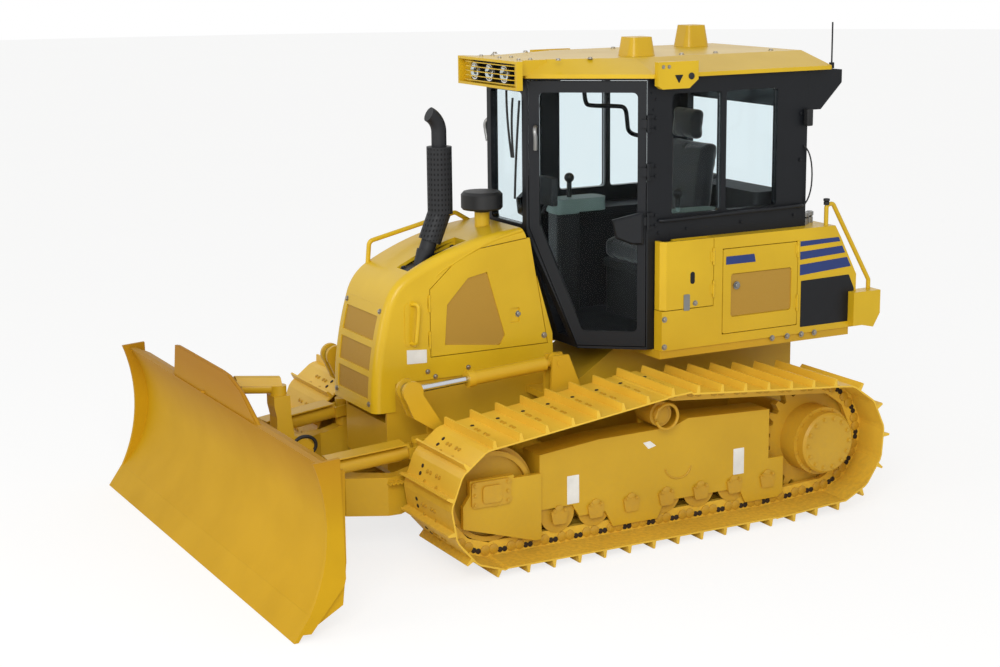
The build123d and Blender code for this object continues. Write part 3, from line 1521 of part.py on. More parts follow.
# ======================= handrails =======================
rail_radius = 14
hood_rail_y = 255
rear_rail_y = 770
with BuildPart() as handrails:
    # rail on the hood's right shoulder: x, z of its bends
    with BuildLine(Plane.XZ.offset(hood_rail_y)) as hood_rail:
        FilletPolyline((893, 1550), (878, 1705), (290, 1838), (190, 1778), radius=35)
    with BuildSketch(Plane(origin=hood_rail.line @ 0, z_dir=hood_rail.line % 0)):
        Circle(rail_radius)
    sweep()
    with BuildSketch(left_face(-hood_rail_y + 50)):
        add(hood_side(-running_gap))
    extrude(amount=100, mode=Mode.SUBTRACT)
    # rails behind the cab, down to the rear brackets
    for side in (1, -1):
        with BuildLine(left_face(side * rear_rail_y)) as rear_rail:
            FilletPolyline(
                (-1800, cover_top_z + running_gap), (-1800, 1850), (-1850, 1852), (-2150, 1340),
                (-2150, bracket_top_z + running_gap), radius=24,
            )
        with BuildSketch(Plane(origin=rear_rail.line @ 0, z_dir=rear_rail.line % 0)):
            Circle(rail_radius)
        sweep()
save(handrails.part, "handrails")
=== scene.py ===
# %% [markdown]
# # A compact crawler dozer, dressed in Blender
# The solids of the machine come ready made and in place. This lesson dresses them: it gives
# each surface a paint, metal, glass or cloth, and adds the small things that a press, a welder
# or a fitter puts on last, such as mesh, bolts, handles, hoses and lamps. A real dozer is a
# welded hull between two tracks, so nearly everything here is sheet steel, castings and paint.

# %% Load the solids
import json
import math

import bpy
from mathutils import Matrix, Vector


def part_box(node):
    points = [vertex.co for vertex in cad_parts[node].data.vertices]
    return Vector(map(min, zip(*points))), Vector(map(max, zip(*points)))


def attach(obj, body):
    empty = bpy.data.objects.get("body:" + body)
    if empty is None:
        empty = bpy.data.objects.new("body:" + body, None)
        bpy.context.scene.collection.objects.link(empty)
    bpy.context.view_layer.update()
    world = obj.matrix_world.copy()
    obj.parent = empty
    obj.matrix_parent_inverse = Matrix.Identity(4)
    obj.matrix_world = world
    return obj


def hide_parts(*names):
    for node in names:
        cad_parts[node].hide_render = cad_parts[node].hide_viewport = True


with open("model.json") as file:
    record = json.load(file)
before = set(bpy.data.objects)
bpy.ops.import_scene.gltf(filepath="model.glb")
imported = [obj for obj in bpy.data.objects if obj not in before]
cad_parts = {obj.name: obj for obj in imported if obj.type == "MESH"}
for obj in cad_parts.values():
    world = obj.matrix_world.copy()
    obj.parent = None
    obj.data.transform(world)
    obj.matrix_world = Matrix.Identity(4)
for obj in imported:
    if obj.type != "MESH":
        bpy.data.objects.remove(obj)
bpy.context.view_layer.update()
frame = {"nodes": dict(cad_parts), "record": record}
SIDES = (("left", 1), ("right", -1))    # the sign of y on each side of the machine

# %% [markdown]
# ## Camera and studio
# The machine stands on a white sweep, seen from its left front corner with a long lens. The
# light is one big soft source overhead and to the left of the camera, with a pale room all
# round. The room is brighter to the camera, to gloss and to glass than it is as a lamp, so the
# backdrop stays white while the paint keeps its colour.

# %% Camera
CAMERA_PLACE = (5.444, 10.027, 3.517)
CAMERA_TURN = [math.radians(angle) for angle in (77.947, 0.612, 151.889)]
camera_data = bpy.data.cameras.new("camera")
camera_data.sensor_width = 36
camera_data.lens = 67.04
camera = bpy.data.objects.new("camera", camera_data)
camera.location = CAMERA_PLACE
camera.rotation_euler = CAMERA_TURN
bpy.context.scene.collection.objects.link(camera)
bpy.context.scene.camera = camera
print("camera:", CAMERA_PLACE)

# %% [markdown]
# ## Shader sums
# A finish is a sum of masks: dust here, a scuff there. Blender draws each sum as a Math node,
# which is slow to read, so a small class wraps a socket and lets Python's own signs make the
# nodes. One more class holds a material and makes every other kind of node.

# %% A socket that adds up
class Wire:
    """An output socket that makes Math nodes when it is added, multiplied or compared."""

    def __init__(self, finish, socket):
        self.finish = finish
        self.socket = socket

    def sum(self, operation, left, right=None, clamp=False):
        values = [left] if right is None else [left, right]
        return self.finish.node("ShaderNodeMath", {"operation": operation, "use_clamp": clamp}, *values)

    def __add__(self, other):
        return self.sum("ADD", self, other)

    def __sub__(self, other):
        return self.sum("SUBTRACT", self, other)

    def __rsub__(self, other):
        return self.sum("SUBTRACT", other, self)

    def __mul__(self, other):
        return self.sum("MULTIPLY", self, other)

    def __gt__(self, other):
        return self.sum("GREATER_THAN", self, other)

    def __lt__(self, other):
        return self.sum("LESS_THAN", self, other)

    def __abs__(self):
        return self.sum("ABSOLUTE", self)

    __radd__ = __add__
    __rmul__ = __mul__

    def wave(self):
        """Sine of the value."""
        return self.sum("SINE", self)

    def least(self, other):
        """The lower of two values."""
        return self.sum("MINIMUM", self, other)

    def most(self, other):
        """The higher of two values."""
        return self.sum("MAXIMUM", self, other)

    def ramp(self, low, high):
        """0 below low, 1 above high, straight between."""
        return self.sum("MULTIPLY", self.sum("SUBTRACT", self, low), 1 / (high - low), clamp=True)


class Finish:
    """A material, with one method that adds any node to it."""

    def __init__(self, name, **constants):
        self.material = bpy.data.materials.new(name)
        self.material.use_nodes = True
        self.tree = self.material.node_tree
        self.tree.nodes.clear()
        self.place = self.node("ShaderNodeTexCoord", {}, out="Object")
        self.shader = self.tree.nodes.new("ShaderNodeBsdfPrincipled")
        for socket, value in constants.items():
            self.shader.inputs[socket.replace("_", " ")].default_value = value
        output = self.tree.nodes.new("ShaderNodeOutputMaterial")
        self.tree.links.new(self.shader.outputs[0], output.inputs["Surface"])

    def node(self, kind, settings, *values, out=0, **named):
        """Adds a node, sets its settings first, then gives its sockets values or wires."""
        node = self.tree.nodes.new(kind)
        for key, value in settings.items():
            setattr(node, key, value)
        sockets = [*zip(node.inputs, values)]
        sockets += [(node.inputs[name.replace("_", " ")], value) for name, value in named.items()]
        for socket, value in sockets:
            if isinstance(value, Wire):
                self.tree.links.new(value.socket, socket)
            elif value is not None:
                socket.default_value = value
        return Wire(self, node.outputs[out])

    def noise(self, scale, detail=2.0):
        """Soft noise from 0 to 1 at a scale in features per metre."""
        return self.node("ShaderNodeTexNoise", {}, Vector=self.place, Scale=scale, Detail=detail)

    def mix(self, mask, first, second):
        """A colour between first and second by mask."""
        node = self.tree.nodes.new("ShaderNodeMix")
        node.data_type = "RGBA"
        for socket, value in ((node.inputs[0], mask), (node.inputs[6], first), (node.inputs[7], second)):
            if isinstance(value, Wire):
                self.tree.links.new(value.socket, socket)
            else:
                socket.default_value = value
        return Wire(self, node.outputs[2])

    def split(self):
        """The place's x, y and z."""
        node = self.tree.nodes.new("ShaderNodeSeparateXYZ")
        self.tree.links.new(self.place.socket, node.inputs[0])
        return [Wire(self, socket) for socket in node.outputs]

    def up(self):
        """How far the surface faces upwards, from -1 to 1."""
        normal = self.tree.nodes.new("ShaderNodeNewGeometry").outputs["Normal"]
        node = self.tree.nodes.new("ShaderNodeSeparateXYZ")
        self.tree.links.new(normal, node.inputs[0])
        return Wire(self, node.outputs[2])

    def feed(self, **wires):
        """Links what changes over the surface into the shader."""
        for socket, value in wires.items():
            self.tree.links.new(value.socket, self.shader.inputs[socket.replace("_", " ")])
        return self

    def bump(self, height, distance, strength=1.0):
        """Bends the surface by height times distance, in metres."""
        self.feed(Normal=self.node("ShaderNodeBump", {}, Strength=strength, Distance=distance, Height=height))
        return self


def rgb(code):
    """A colour as the shader wants it, from its usual six-digit code."""
    parts = [int(code[at:at + 2], 16) / 255 for at in (0, 2, 4)]
    return tuple(part / 12.92 if part < 0.04 else ((part + 0.055) / 1.055) ** 2.4 for part in parts) + (1.0,)


# %% [markdown]
# ## Paint
# Machine paint is sprayed thick over steel. Close to, it has the fine ripple of orange peel and
# a gloss that varies from panel to panel. Low down it dulls under a film of dust, which gathers
# on what faces upwards. The body's paint is the cleanest, the undercarriage's the dustiest.

# %% Yellow paints
YELLOW = rgb("DEB721")
YELLOW_DEEP = rgb("D0A91B")
DUST = rgb("B08F42")


def paint(name, base, shade, gloss, dust_top, dust_most, deep=None):
    """Sprayed paint with orange peel, a faint cloudiness, and dust below dust_top.

    With a deep colour the paint is flat, and turns to that colour higher up, as painted shade."""
    shine = 0.0 if deep else 0.12
    made = Finish(name, Coat_Weight=shine, Coat_Roughness=0.15, Specular_IOR_Level=0.15 + 1.2 * shine)
    cloud = made.noise(2.2, 3)
    grain = made.noise(38, 4)
    height = made.split()[2]
    low = 1 - height.ramp(0.0, dust_top)
    settled = 0.45 + 0.55 * made.up().ramp(-0.2, 0.9)
    film = (low * settled * grain.ramp(0.35, 0.7) * dust_most).least(1.0)
    coat = made.mix(cloud.ramp(0.3, 0.75), base, shade)
    # painted shade: a deep colour darkens the paint towards the top, where the blade's curl shades it
    if deep:
        coat = made.mix(height.ramp(0.55, 1.05), coat, deep)
    made.feed(
        Base_Color=made.mix(film, coat, DUST),
        Roughness=gloss + 0.10 * cloud + 0.35 * film,
    )
    made.bump(made.noise(420, 1) * 0.7 + made.noise(60, 2) * 0.3, 0.0006, 0.35)
    return made.material


body_paint = paint("body_paint", YELLOW, YELLOW_DEEP, 0.30, 1.2, 0.25)
work_paint = paint("work_paint", rgb("D3A823"), rgb("C69C1E"), 0.4, 1.0, 0.25)
track_paint = paint("track_paint", rgb("D0A32B"), rgb("BD9024"), 0.42, 0.9, 0.6)
# the blade's paint is a darker copy of the yellow, with painted shade that deepens towards its top
shaded_blade_paint = paint("shaded_blade_paint", rgb("CC9E12"), rgb("C09410"), 0.5, 0.6, 0.08, rgb("A87412"))
# painted light: the shoes get a lighter copy of the track paint
lit_shoe_paint = paint("lit_shoe_paint", rgb("EEC340"), rgb("DFB132"), 0.42, 0.6, 0.5)
print("paints:", body_paint.name, work_paint.name, track_paint.name)

# %% [markdown]
# ## Dark paint, glass, rods, plastic
# The cab is dipped and powder coated in a blue black with a fine leather grain. Its panes are a
# cool float glass that shows mostly what is behind it. Cylinder rods are hard chrome, ground
# round, so their fine lines run round and not along. The inside of the cab is moulded plastic.

# %% Cab, glass and trim
def plain(name, colour, rough, metal=0.0, grain=600, depth=0.0003, tone=0.15, **constants):
    """A moulded, cast or plated finish: one colour with a fine grain."""
    made = Finish(name, Metallic=metal, **constants)
    patch = made.noise(9, 3)
    dark = tuple(part * (1 - tone) for part in colour[:3]) + (1.0,)
    made.feed(
        Base_Color=made.mix(patch.ramp(0.3, 0.7), colour, dark),
        Roughness=rough - 0.05 + 0.12 * patch,
    )
    made.bump(made.noise(grain, 2), depth, 0.4)
    return made.material


dark_paint = plain("dark_paint", rgb("101318"), 0.42, Specular_IOR_Level=0.3)
black_rubber = plain("black_rubber", rgb("17181A"), 0.62, grain=300)
exhaust_black = plain("exhaust_black", rgb("1D1E21"), 0.55, grain=250, depth=0.0006)
console_grey = plain("console_grey", rgb("7E8E8A"), 0.5, grain=900)
bare_steel = plain("bare_steel", rgb("9A9A98"), 0.32, metal=1.0, grain=200)
zinc_bolt = plain("zinc_bolt", rgb("A8A39A"), 0.35, metal=1.0, grain=300)
lamp_bowl = plain("lamp_bowl", rgb("E8E8E6"), 0.12, metal=1.0, grain=80)
white_enamel = plain("white_enamel", rgb("EFEFEA"), 0.35)
stripe_blue = plain("stripe_blue", rgb("1C3577"), 0.35)
panel_black = plain("panel_black", rgb("14161B"), 0.4, Specular_IOR_Level=0.3)


def pane(name, tint, deep):
    """Float glass: light goes through it and takes a faint tint, with a ripple in its gloss."""
    made = Finish(name, Transmission_Weight=1.0, IOR=1.12, Specular_IOR_Level=0.5)
    ripple = made.noise(3, 2)
    made.feed(Base_Color=made.mix(ripple, tint, deep), Roughness=0.01 * ripple)
    made.bump(ripple, 0.0005, 0.2)
    return made.material


cab_pane = pane("cab_pane", rgb("F3FAFC"), rgb("F0F9FC"))
lamp_pane = pane("lamp_pane", rgb("F4F8F8"), rgb("E9F1F2"))


def ground_rod(name, colour):
    """Hard chrome on a cylinder's rod, ground round."""
    made = Finish(name, Metallic=1.0)
    lines = made.noise(700, 1)
    made.feed(Base_Color=made.mix(lines.ramp(0.3, 0.8), colour, rgb("B5B8BC")), Roughness=0.10 + 0.10 * lines)
    made.bump(lines, 0.0001, 0.2)
    return made.material


chrome = ground_rod("chrome", rgb("D3D5D8"))


def cloth(name, colour, light):
    """Woven seat cloth: two crossed sets of threads, about 2 mm apart."""
    made = Finish(name, Sheen_Weight=0.4, Sheen_Roughness=0.5)
    across, along, height = made.split()
    threads = 3000
    warp = abs((across * threads + height * 400).wave())
    weft = abs((along * threads + height * threads).wave())
    weave = warp.most(weft)
    made.feed(
        Base_Color=made.mix(weave * made.noise(120, 2), colour, light),
        Roughness=0.78 + 0.12 * weave,
    )
    made.bump(weave, 0.0006, 0.6)
    return made.material


seat_cloth = cloth("seat_cloth", rgb("0D0E11"), rgb("202329"))
print("materials:", len(bpy.data.materials))

# %% Punched exhaust shields
STACK_X, STACK_Y = 0.596, 0.160
SHIELD_LOW, SHIELD_HIGH = 1.755, 2.295


def punched_stack(name, colour, hole_shade_colour):
    """Black sheet with rows of square holes, counted round the pipe's axis and up it, with painted shade in the
    holes.
    """
    made = Finish(name, Specular_IOR_Level=0.35)
    across, along, height = made.split()
    lean = (1.915 - height).most(0.0) * 0.376
    round_it = height.sum("ARCTAN2", along - STACK_Y, across - STACK_X - lean)
    columns = height.sum("FRACT", round_it * (22 / (2 * math.pi)))
    rows = height.sum("FRACT", height * (1 / 0.030))
    inside_column = (columns > 0.3) * (columns < 0.7)
    inside_row = (rows > 0.28) * (rows < 0.72)
    band = (height > SHIELD_LOW) * (height < SHIELD_HIGH)
    hole = inside_column * inside_row * band
    patch = made.noise(9, 3)
    # painted shade: the holes take a near-black colour
    made.feed(Base_Color=made.mix(hole, colour, hole_shade_colour), Roughness=0.45 + 0.12 * patch + 0.3 * hole)
    made.bump(1 - hole, 0.002, 0.6)
    return made.material


stack_sheet = punched_stack("stack_sheet", rgb("1A1B1E"), rgb("040405"))
print("shields from", SHIELD_LOW, "to", SHIELD_HIGH)

# %% Solids in two colours
def two_tone(name, turn_z, low_colour, high_colour, rough, knob_z=9.0):
    """A moulded finish that changes colour at turn_z, where two mouldings meet, and back at knob_z."""
    made = Finish(name)
    patch = made.noise(14, 3)
    height = made.split()[2]
    coat = made.mix(height > turn_z, low_colour, high_colour)
    made.feed(Base_Color=made.mix(height > knob_z, coat, low_colour), Roughness=rough + 0.1 * patch)
    made.bump(made.noise(160, 2), 0.0002, 0.2)
    return made.material


# %% Give each solid its finish
finish_of_slot = {
    "machine_yellow": body_paint, "dark_paint": dark_paint, "glass": cab_pane,
    "chrome_rod": chrome, "seat_fabric": seat_cloth, "grey_plastic": console_grey,
}
worked = ["c_frame", "blade", "blade_swivel", "main_frame", "frame_mounts", "deck", "tilt_barrel"]
dusty = []
for side in ("left", "right"):
    worked += [f"{name}_{side}" for name in ("lift_barrel", "angle_barrel", "angle_yoke", "track_frame")]
    dusty += [f"{name}_{side}" for name in ("track", "rollers", "idler", "sprocket")]
POD_LOW, POD_TOP, BOWL_LOW = 1.753, 1.854, 1.868
two_tone_console = two_tone("two_tone_console", POD_LOW, rgb("101214"), rgb("70827D"), 0.5, POD_TOP)
two_tone_cleaner = two_tone("two_tone_cleaner", BOWL_LOW, YELLOW, rgb("17181A"), 0.5)
special = {name: work_paint for name in worked}
special.update({name: track_paint for name in dusty})
special.update({
    "blade": shaded_blade_paint, "cutting_edge": shaded_blade_paint, "roof_lamps": dark_paint,
    "exhaust_stack": stack_sheet, "engine_block": exhaust_black, "pre_cleaner": two_tone_cleaner,
    "seat_base": black_rubber, "rear_console": black_rubber,
    "console_left": two_tone_console, "console_right": two_tone_console,
    "track_left": lit_shoe_paint, "track_right": lit_shoe_paint,
})
for row in frame["record"]["subparts"]:
    name = row["node"]
    finish = special.get(name, finish_of_slot[row["material_slot"]])
    for place in frame["nodes"][name].material_slots:
        place.material = finish

# %% [markdown]
# ## The room
# The floor is a matte white sweep, so the machine's shadow falls on it. Seen by the camera, most
# of its brightness is a glow, which brings it close to the backdrop's white.

# %% Floor, room and lamps
FLOOR_GLOW, FLOOR_LEVEL, ROOM_LIGHT = 0.7, 1.08, 0.62
FLOOR_RADIUS, FLOOR_Z = 60, -0.002


def any_ray(tree, *kinds):
    """A socket that is 1 for light paths of any of these kinds, such as Camera or Glossy."""
    rays = tree.nodes.new("ShaderNodeLightPath")
    found = rays.outputs[f"Is {kinds[0]} Ray"]
    for kind in kinds[1:]:
        both = tree.nodes.new("ShaderNodeMath")
        both.operation = "MAXIMUM"
        tree.links.new(found, both.inputs[0])
        tree.links.new(rays.outputs[f"Is {kind} Ray"], both.inputs[1])
        found = both.outputs[0]
    return found


floor_finish = Finish("floor_finish", Roughness=0.9, Specular_IOR_Level=0.1)
floor_cloud = floor_finish.noise(0.3, 2)
floor_finish.feed(Base_Color=floor_finish.mix(floor_cloud, rgb("F4F4F2"), rgb("F8F8F6")))
floor_tree = floor_finish.tree
floor_output = next(node for node in floor_tree.nodes if node.type == "OUTPUT_MATERIAL")
floor_glow = floor_tree.nodes.new("ShaderNodeEmission")
floor_glow.inputs["Strength"].default_value = FLOOR_LEVEL
floor_share = floor_tree.nodes.new("ShaderNodeMath")
floor_share.operation = "MULTIPLY"
floor_share.inputs[1].default_value = FLOOR_GLOW
floor_blend = floor_tree.nodes.new("ShaderNodeMixShader")
floor_tree.links.new(any_ray(floor_tree, "Camera", "Transmission"), floor_share.inputs[0])
floor_tree.links.new(floor_share.outputs[0], floor_blend.inputs["Fac"])
floor_tree.links.new(floor_finish.shader.outputs[0], floor_blend.inputs[1])
floor_tree.links.new(floor_glow.outputs[0], floor_blend.inputs[2])
floor_tree.links.new(floor_blend.outputs[0], floor_output.inputs["Surface"])
bpy.ops.mesh.primitive_circle_add(vertices=96, radius=FLOOR_RADIUS, fill_type="NGON", location=(0, 0, FLOOR_Z))
floor = bpy.context.object
floor.name = "floor"
floor.data.materials.append(floor_finish.material)

world = bpy.data.worlds.new("studio")
bpy.context.scene.world = world
world.use_nodes = True
tree = world.node_tree
sky = tree.nodes["Background"]
sky.inputs["Color"].default_value = (1, 1, 1, 1)
level = tree.nodes.new("ShaderNodeMapRange")
level.inputs["To Min"].default_value = ROOM_LIGHT
level.inputs["To Max"].default_value = 1.0
tree.links.new(any_ray(tree, "Camera", "Transmission", "Glossy"), level.inputs["Value"])
tree.links.new(level.outputs[0], sky.inputs["Strength"])


def soft_lamp(name, place, aim, size, power):
    """A square soft box at place, aimed at a point."""
    data = bpy.data.lights.new(name, "AREA")
    data.size, data.energy = size, power
    lamp = bpy.data.objects.new(name, data)
    lamp.location = place
    lamp.rotation_euler = (Vector(aim) - Vector(place)).to_track_quat("-Z", "Y").to_euler()
    bpy.context.scene.collection.objects.link(lamp)
    return lamp


soft_lamp("key_lamp", (5.5, 9.0, 6.5), (0, 0, 1.0), 5.0, 560)
soft_lamp("front_lamp", (9.5, 1.5, 2.6), (1.5, 0.5, 0.6), 4.0, 120)
bpy.context.scene.view_settings.view_transform = "Standard"
print("lamps: 2, room:", ROOM_LIGHT)

# %% [markdown]
# ## Modelling helpers
# Every small piece starts as a primitive at its own size, is shaped in edit mode, and then has
# its place baked into its mesh, as the solids have. What repeats, such as a bolt, is shaped once
# at unit size and copied to a list of places, each with the way that it faces.

# %% Picking, settling and copying
bpy.context.tool_settings.mesh_select_mode = (False, False, True)


def pick(*pieces):
    """Selects only these objects and makes the first of them active."""
    bpy.ops.object.select_all(action="DESELECT")
    for piece in pieces:
        piece.select_set(True)
    if pieces:
        bpy.context.view_layer.objects.active = pieces[0]


def choose(piece, test):
    """Opens the piece in edit mode with the faces selected whose middle and normal pass a test."""
    pick(piece)
    for part in (piece.data.vertices, piece.data.edges):
        part.foreach_set("select", [False] * len(part))
    for face in piece.data.polygons:
        face.select = test(face.center, face.normal)
    bpy.ops.object.mode_set(mode="EDIT")


def close():
    """Leaves edit mode."""
    bpy.ops.object.mode_set(mode="OBJECT")


def settle(piece, name, body, finish, slot, smooth=35):
    """Bakes the piece's place into its mesh, names it, paints it and lets it ride."""
    pick(piece)
    bpy.ops.object.transform_apply(location=True, rotation=True, scale=True)
    bpy.ops.object.mode_set(mode="EDIT")
    bpy.ops.mesh.select_all(action="SELECT")
    bpy.ops.mesh.normals_make_consistent(inside=False)
    close()
    bpy.ops.object.shade_smooth_by_angle(angle=math.radians(smooth))
    piece.name = piece.data.name = name
    piece.data.materials.clear()
    piece.data.materials.append(finish)
    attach(piece, body)
    return piece


def set_out(pattern, name, places, body, finish, slot):
    """Copies a unit pattern to each (point, normal, size), joins the copies and settles them."""
    copies = []
    for point, normal, size in places:
        copy = pattern.copy()
        copy.data = pattern.data.copy()
        bpy.context.scene.collection.objects.link(copy)
        turn = Vector(normal).to_track_quat("Z", "Y")
        copy.matrix_world = Matrix.LocRotScale(Vector(point), turn, Vector((size, size, size)))
        copies.append(copy)
    bpy.context.view_layer.update()
    pick(*copies)
    if len(copies) > 1:
        bpy.ops.object.join()
    return settle(bpy.context.object, name, body, finish, slot)


def put_away(*patterns):
    """Deletes the patterns once their copies are made."""
    for pattern in patterns:
        bpy.data.objects.remove(pattern)


def thicken(sheet, thick, offset=0):
    """Gives a flat sheet its thickness."""
    solid = sheet.modifiers.new("thickness", "SOLIDIFY")
    solid.thickness, solid.offset = thick, offset
    pick(sheet)
    bpy.ops.object.modifier_apply(modifier=solid.name)


def rounded_box(low, high, round_by, segments):
    """A block from its low to its high corner, with all edges rounded."""
    pick()
    bpy.ops.mesh.primitive_cube_add(size=1, location=[(a + b) / 2 for a, b in zip(low, high)])
    block = bpy.context.object
    block.scale = [b - a for a, b in zip(low, high)]
    bpy.ops.object.transform_apply(location=True, rotation=True, scale=True)
    choose(block, lambda middle, normal: True)
    bpy.ops.mesh.bevel(offset=round_by, segments=segments)
    close()
    return block


# what a piece rides on, its finish and its slot, for the looks that most pieces share
BODY_LOOK = ("machine", body_paint, "machine_yellow")
TRACK_LOOK = ("machine", track_paint, "machine_yellow")
ZINC_LOOK = ("machine", zinc_bolt, "machine_yellow")
LABEL_LOOK = ("machine", white_enamel, "machine_yellow")
DARK_LOOK = ("machine", dark_paint, "dark_paint")
PANEL_LOOK = ("machine", panel_black, "dark_paint")
RUBBER_LOOK = ("machine", black_rubber, "dark_paint")

# %% [markdown]
# ## Bolts
# A cap screw is a hexagon on a washer, with a chamfered crown. It is a six-sided primitive whose
# top face is inset and lifted, on a twelve-sided disc. At a few dozen faces it can be copied
# hundreds of times.

# %% A unit bolt
def unit_bolt():
    """A hexagon head on its washer, one unit in radius, standing on z = 0."""
    pick()
    bpy.ops.mesh.primitive_cylinder_add(vertices=12, radius=1.45, depth=0.25, location=(0, 0, 0.1))
    washer = bpy.context.object
    bpy.ops.mesh.primitive_cylinder_add(vertices=6, radius=1.0, depth=0.6, location=(0, 0, 0.5))
    head = bpy.context.object
    choose(head, lambda middle, normal: normal.z > 0.9)
    bpy.ops.mesh.inset(thickness=0.14)
    bpy.ops.transform.translate(value=(0, 0, 0.1))
    close()
    pick(head, washer)
    bpy.ops.object.join()
    bpy.ops.object.transform_apply(location=True, rotation=True, scale=True)
    return bpy.context.object


bolt = unit_bolt()
UP = (0, 0, 1)


def side_bolts(points, size):
    """Places on the left side and their mirror images, facing outwards."""
    return [((x, side * y, z), (0, side, 0), size) for side in (1, -1) for x, y, z in points]


def cover_bolt(name, cover, point, size, finish, slot):
    """One bolt on a hinged cover, and its mirror image on the other side's cover."""
    x, y, z = point
    for side, sign in SIDES:
        set_out(bolt, f"{name}_{side}", [((x, sign * y, z), (0, sign, 0), size)], f"{cover}_{side}", finish, slot)


# %% Bolts on the body
PANEL_Y, HOOD_Y = 0.790, 0.310    # the outer faces of the rear covers and of the hood
body_bolts = side_bolts(
    [(-0.586, PANEL_Y, 1.245), (-0.586, PANEL_Y, 1.075), (-0.023, HOOD_Y, 1.125)]
    + [(x, PANEL_Y, 1.044) for x in (-1.386, -1.501, -1.611, -1.712)], 0.013)
body_bolts += side_bolts([(0.77, HOOD_Y, 0.99), (0.50, HOOD_Y, 0.985), (0.72, HOOD_Y, 0.955)], 0.011)
set_out(bolt, "body_bolts", body_bolts, *ZINC_LOOK)
cover_bolt("cover_bolts", "side_cover", (-0.806, PANEL_Y, 1.325), 0.012, zinc_bolt, "machine_yellow")

# final drive: bolts round the cover and round the ring behind it
DRIVE_X, DRIVE_Z = -1.530, 0.440
COVER_FACE_Y, RING_FACE_Y = 1.200, 1.130


def round_bolts(count, radius, face_y, size, start=0.0):
    """A circle of bolts on both final drives."""
    places = []
    for step in range(count):
        angle = start + 2 * math.pi * step / count
        x, z = DRIVE_X + radius * math.cos(angle), DRIVE_Z + radius * math.sin(angle)
        places += side_bolts([(x, face_y, z)], size)
    return places


drive_bolts = round_bolts(14, 0.155, COVER_FACE_Y, 0.0115)
drive_bolts += round_bolts(14, 0.2005, RING_FACE_Y, 0.0095, 0.2)
set_out(bolt, "drive_bolts", drive_bolts, *TRACK_LOOK)

# track frame: idler block, roller shaft clips
FRAME_FACE_Y, YOKE_FACE_Y = 1.059, 1.0767
ROLLER_XS = [0.306 - 0.246 * step for step in range(7)]
CLIP_Z, CLIP_THICK = 0.262, 0.012
frame_bolts = side_bolts([(x, YOKE_FACE_Y, z) for x in (0.64, 0.86) for z in (0.39, 0.49)], 0.013)
clip_bolts = [(x + shift, FRAME_FACE_Y + CLIP_THICK, CLIP_Z) for x in ROLLER_XS for shift in (-0.035, 0.035)]
frame_bolts += side_bolts(clip_bolts, 0.009)
set_out(bolt, "frame_bolts", frame_bolts, *TRACK_LOOK)
print("bolts:", len(body_bolts) + len(drive_bolts) + len(frame_bolts))

# %% [markdown]
# ## Roller shaft clips
# Each roller hangs on a shaft whose end is locked by a round clip with two bolts. The clip is a
# disc with its rim bevelled. The same disc closes the ends of the idler's and carrier's shafts.

# %% Clips and shaft ends
def unit_pad(sides=20):
    """A disc of unit radius with a bevelled rim, standing on z = 0."""
    pick()
    bpy.ops.mesh.primitive_cylinder_add(vertices=sides, radius=1.0, depth=0.3, location=(0, 0, 0.1))
    pad = bpy.context.object
    choose(pad, lambda middle, normal: normal.z > 0.9)
    bpy.ops.mesh.inset(thickness=0.12)
    bpy.ops.transform.translate(value=(0, 0, 0.08))
    close()
    bpy.ops.object.transform_apply(location=True, rotation=True, scale=True)
    return pad


CARRIER_X, CARRIER_Z = -0.400, 0.7387
IDLER_X, IDLER_Z = 0.733, 0.404
TRACK_Y = 0.959                   # the middle of the left track
CARRIER_HALF = 0.0817
pad = unit_pad()
clips = side_bolts([(x, FRAME_FACE_Y, CLIP_Z) for x in ROLLER_XS], 0.03)
set_out(pad, "shaft_clips", clips, *TRACK_LOOK)
shaft_ends = side_bolts([(CARRIER_X, TRACK_Y + CARRIER_HALF, CARRIER_Z)], 0.055)
shaft_ends += side_bolts([(IDLER_X, YOKE_FACE_Y, IDLER_Z)], 0.045)
set_out(pad, "shaft_ends", shaft_ends, *TRACK_LOOK)
print("clips:", len(clips))

# %% [markdown]
# ## Flat panels
# Stripes, plates and mesh are all thin sheets with rounded corners. One helper fills an outline
# of points on a side wall, bevels its corners and gives it thickness. The outline is written as
# forward and up, on a plane that faces left or right.

# %% A sheet on a side wall
def side_sheet(name, outline, wall_y, side, body, finish, slot, round_by=0.0, thick=0.0015):
    """A sheet from an outline of (x, z) points, standing out from a side wall by its thickness."""
    pick()
    bpy.ops.mesh.primitive_circle_add(vertices=len(outline), radius=1, fill_type="NGON", location=(0, 0, 0))
    sheet = bpy.context.object
    for corner, (x, z) in zip(sheet.data.vertices, outline):
        corner.co = (x, side * (wall_y + thick / 2), z)
    if round_by:
        choose(sheet, lambda middle, normal: True)
        bpy.ops.mesh.bevel(offset=round_by, segments=5, affect="VERTICES")
        close()
    thicken(sheet, thick)
    return settle(sheet, name, body, finish, slot)


def both_sheets(name, outline, wall_y, look, round_by=0.0, thick=0.0015):
    """The same sheet on both sides. A body in look that ends in _ gets the side's name."""
    body, finish, slot = look
    for side, sign in SIDES:
        rides_on = body + side if body.endswith("_") else body
        side_sheet(f"{name}_{side}", outline, wall_y, sign, rides_on, finish, slot, round_by, thick)


def mesh_finish(name, bar, hole, pitch):
    """Punched sheet: a fine grid of holes in paint, darkened as painted shade."""
    made = Finish(name, Specular_IOR_Level=0.3)
    across, along, height = made.split()
    turns = 2 * math.pi / pitch
    rows = (height * turns).wave()
    columns = ((across + along) * turns).wave()
    web = (rows * columns).ramp(-0.1, 0.5)
    # painted shade: the holes take a darker colour than the bars
    made.feed(Base_Color=made.mix(web, bar, hole), Roughness=0.5 + 0.2 * made.noise(40, 2))
    made.bump(web, 0.0006, 0.3)
    return made.material


punched_sheet = mesh_finish("punched_sheet", rgb("BC933A"), rgb("A07A2C"), 0.008)

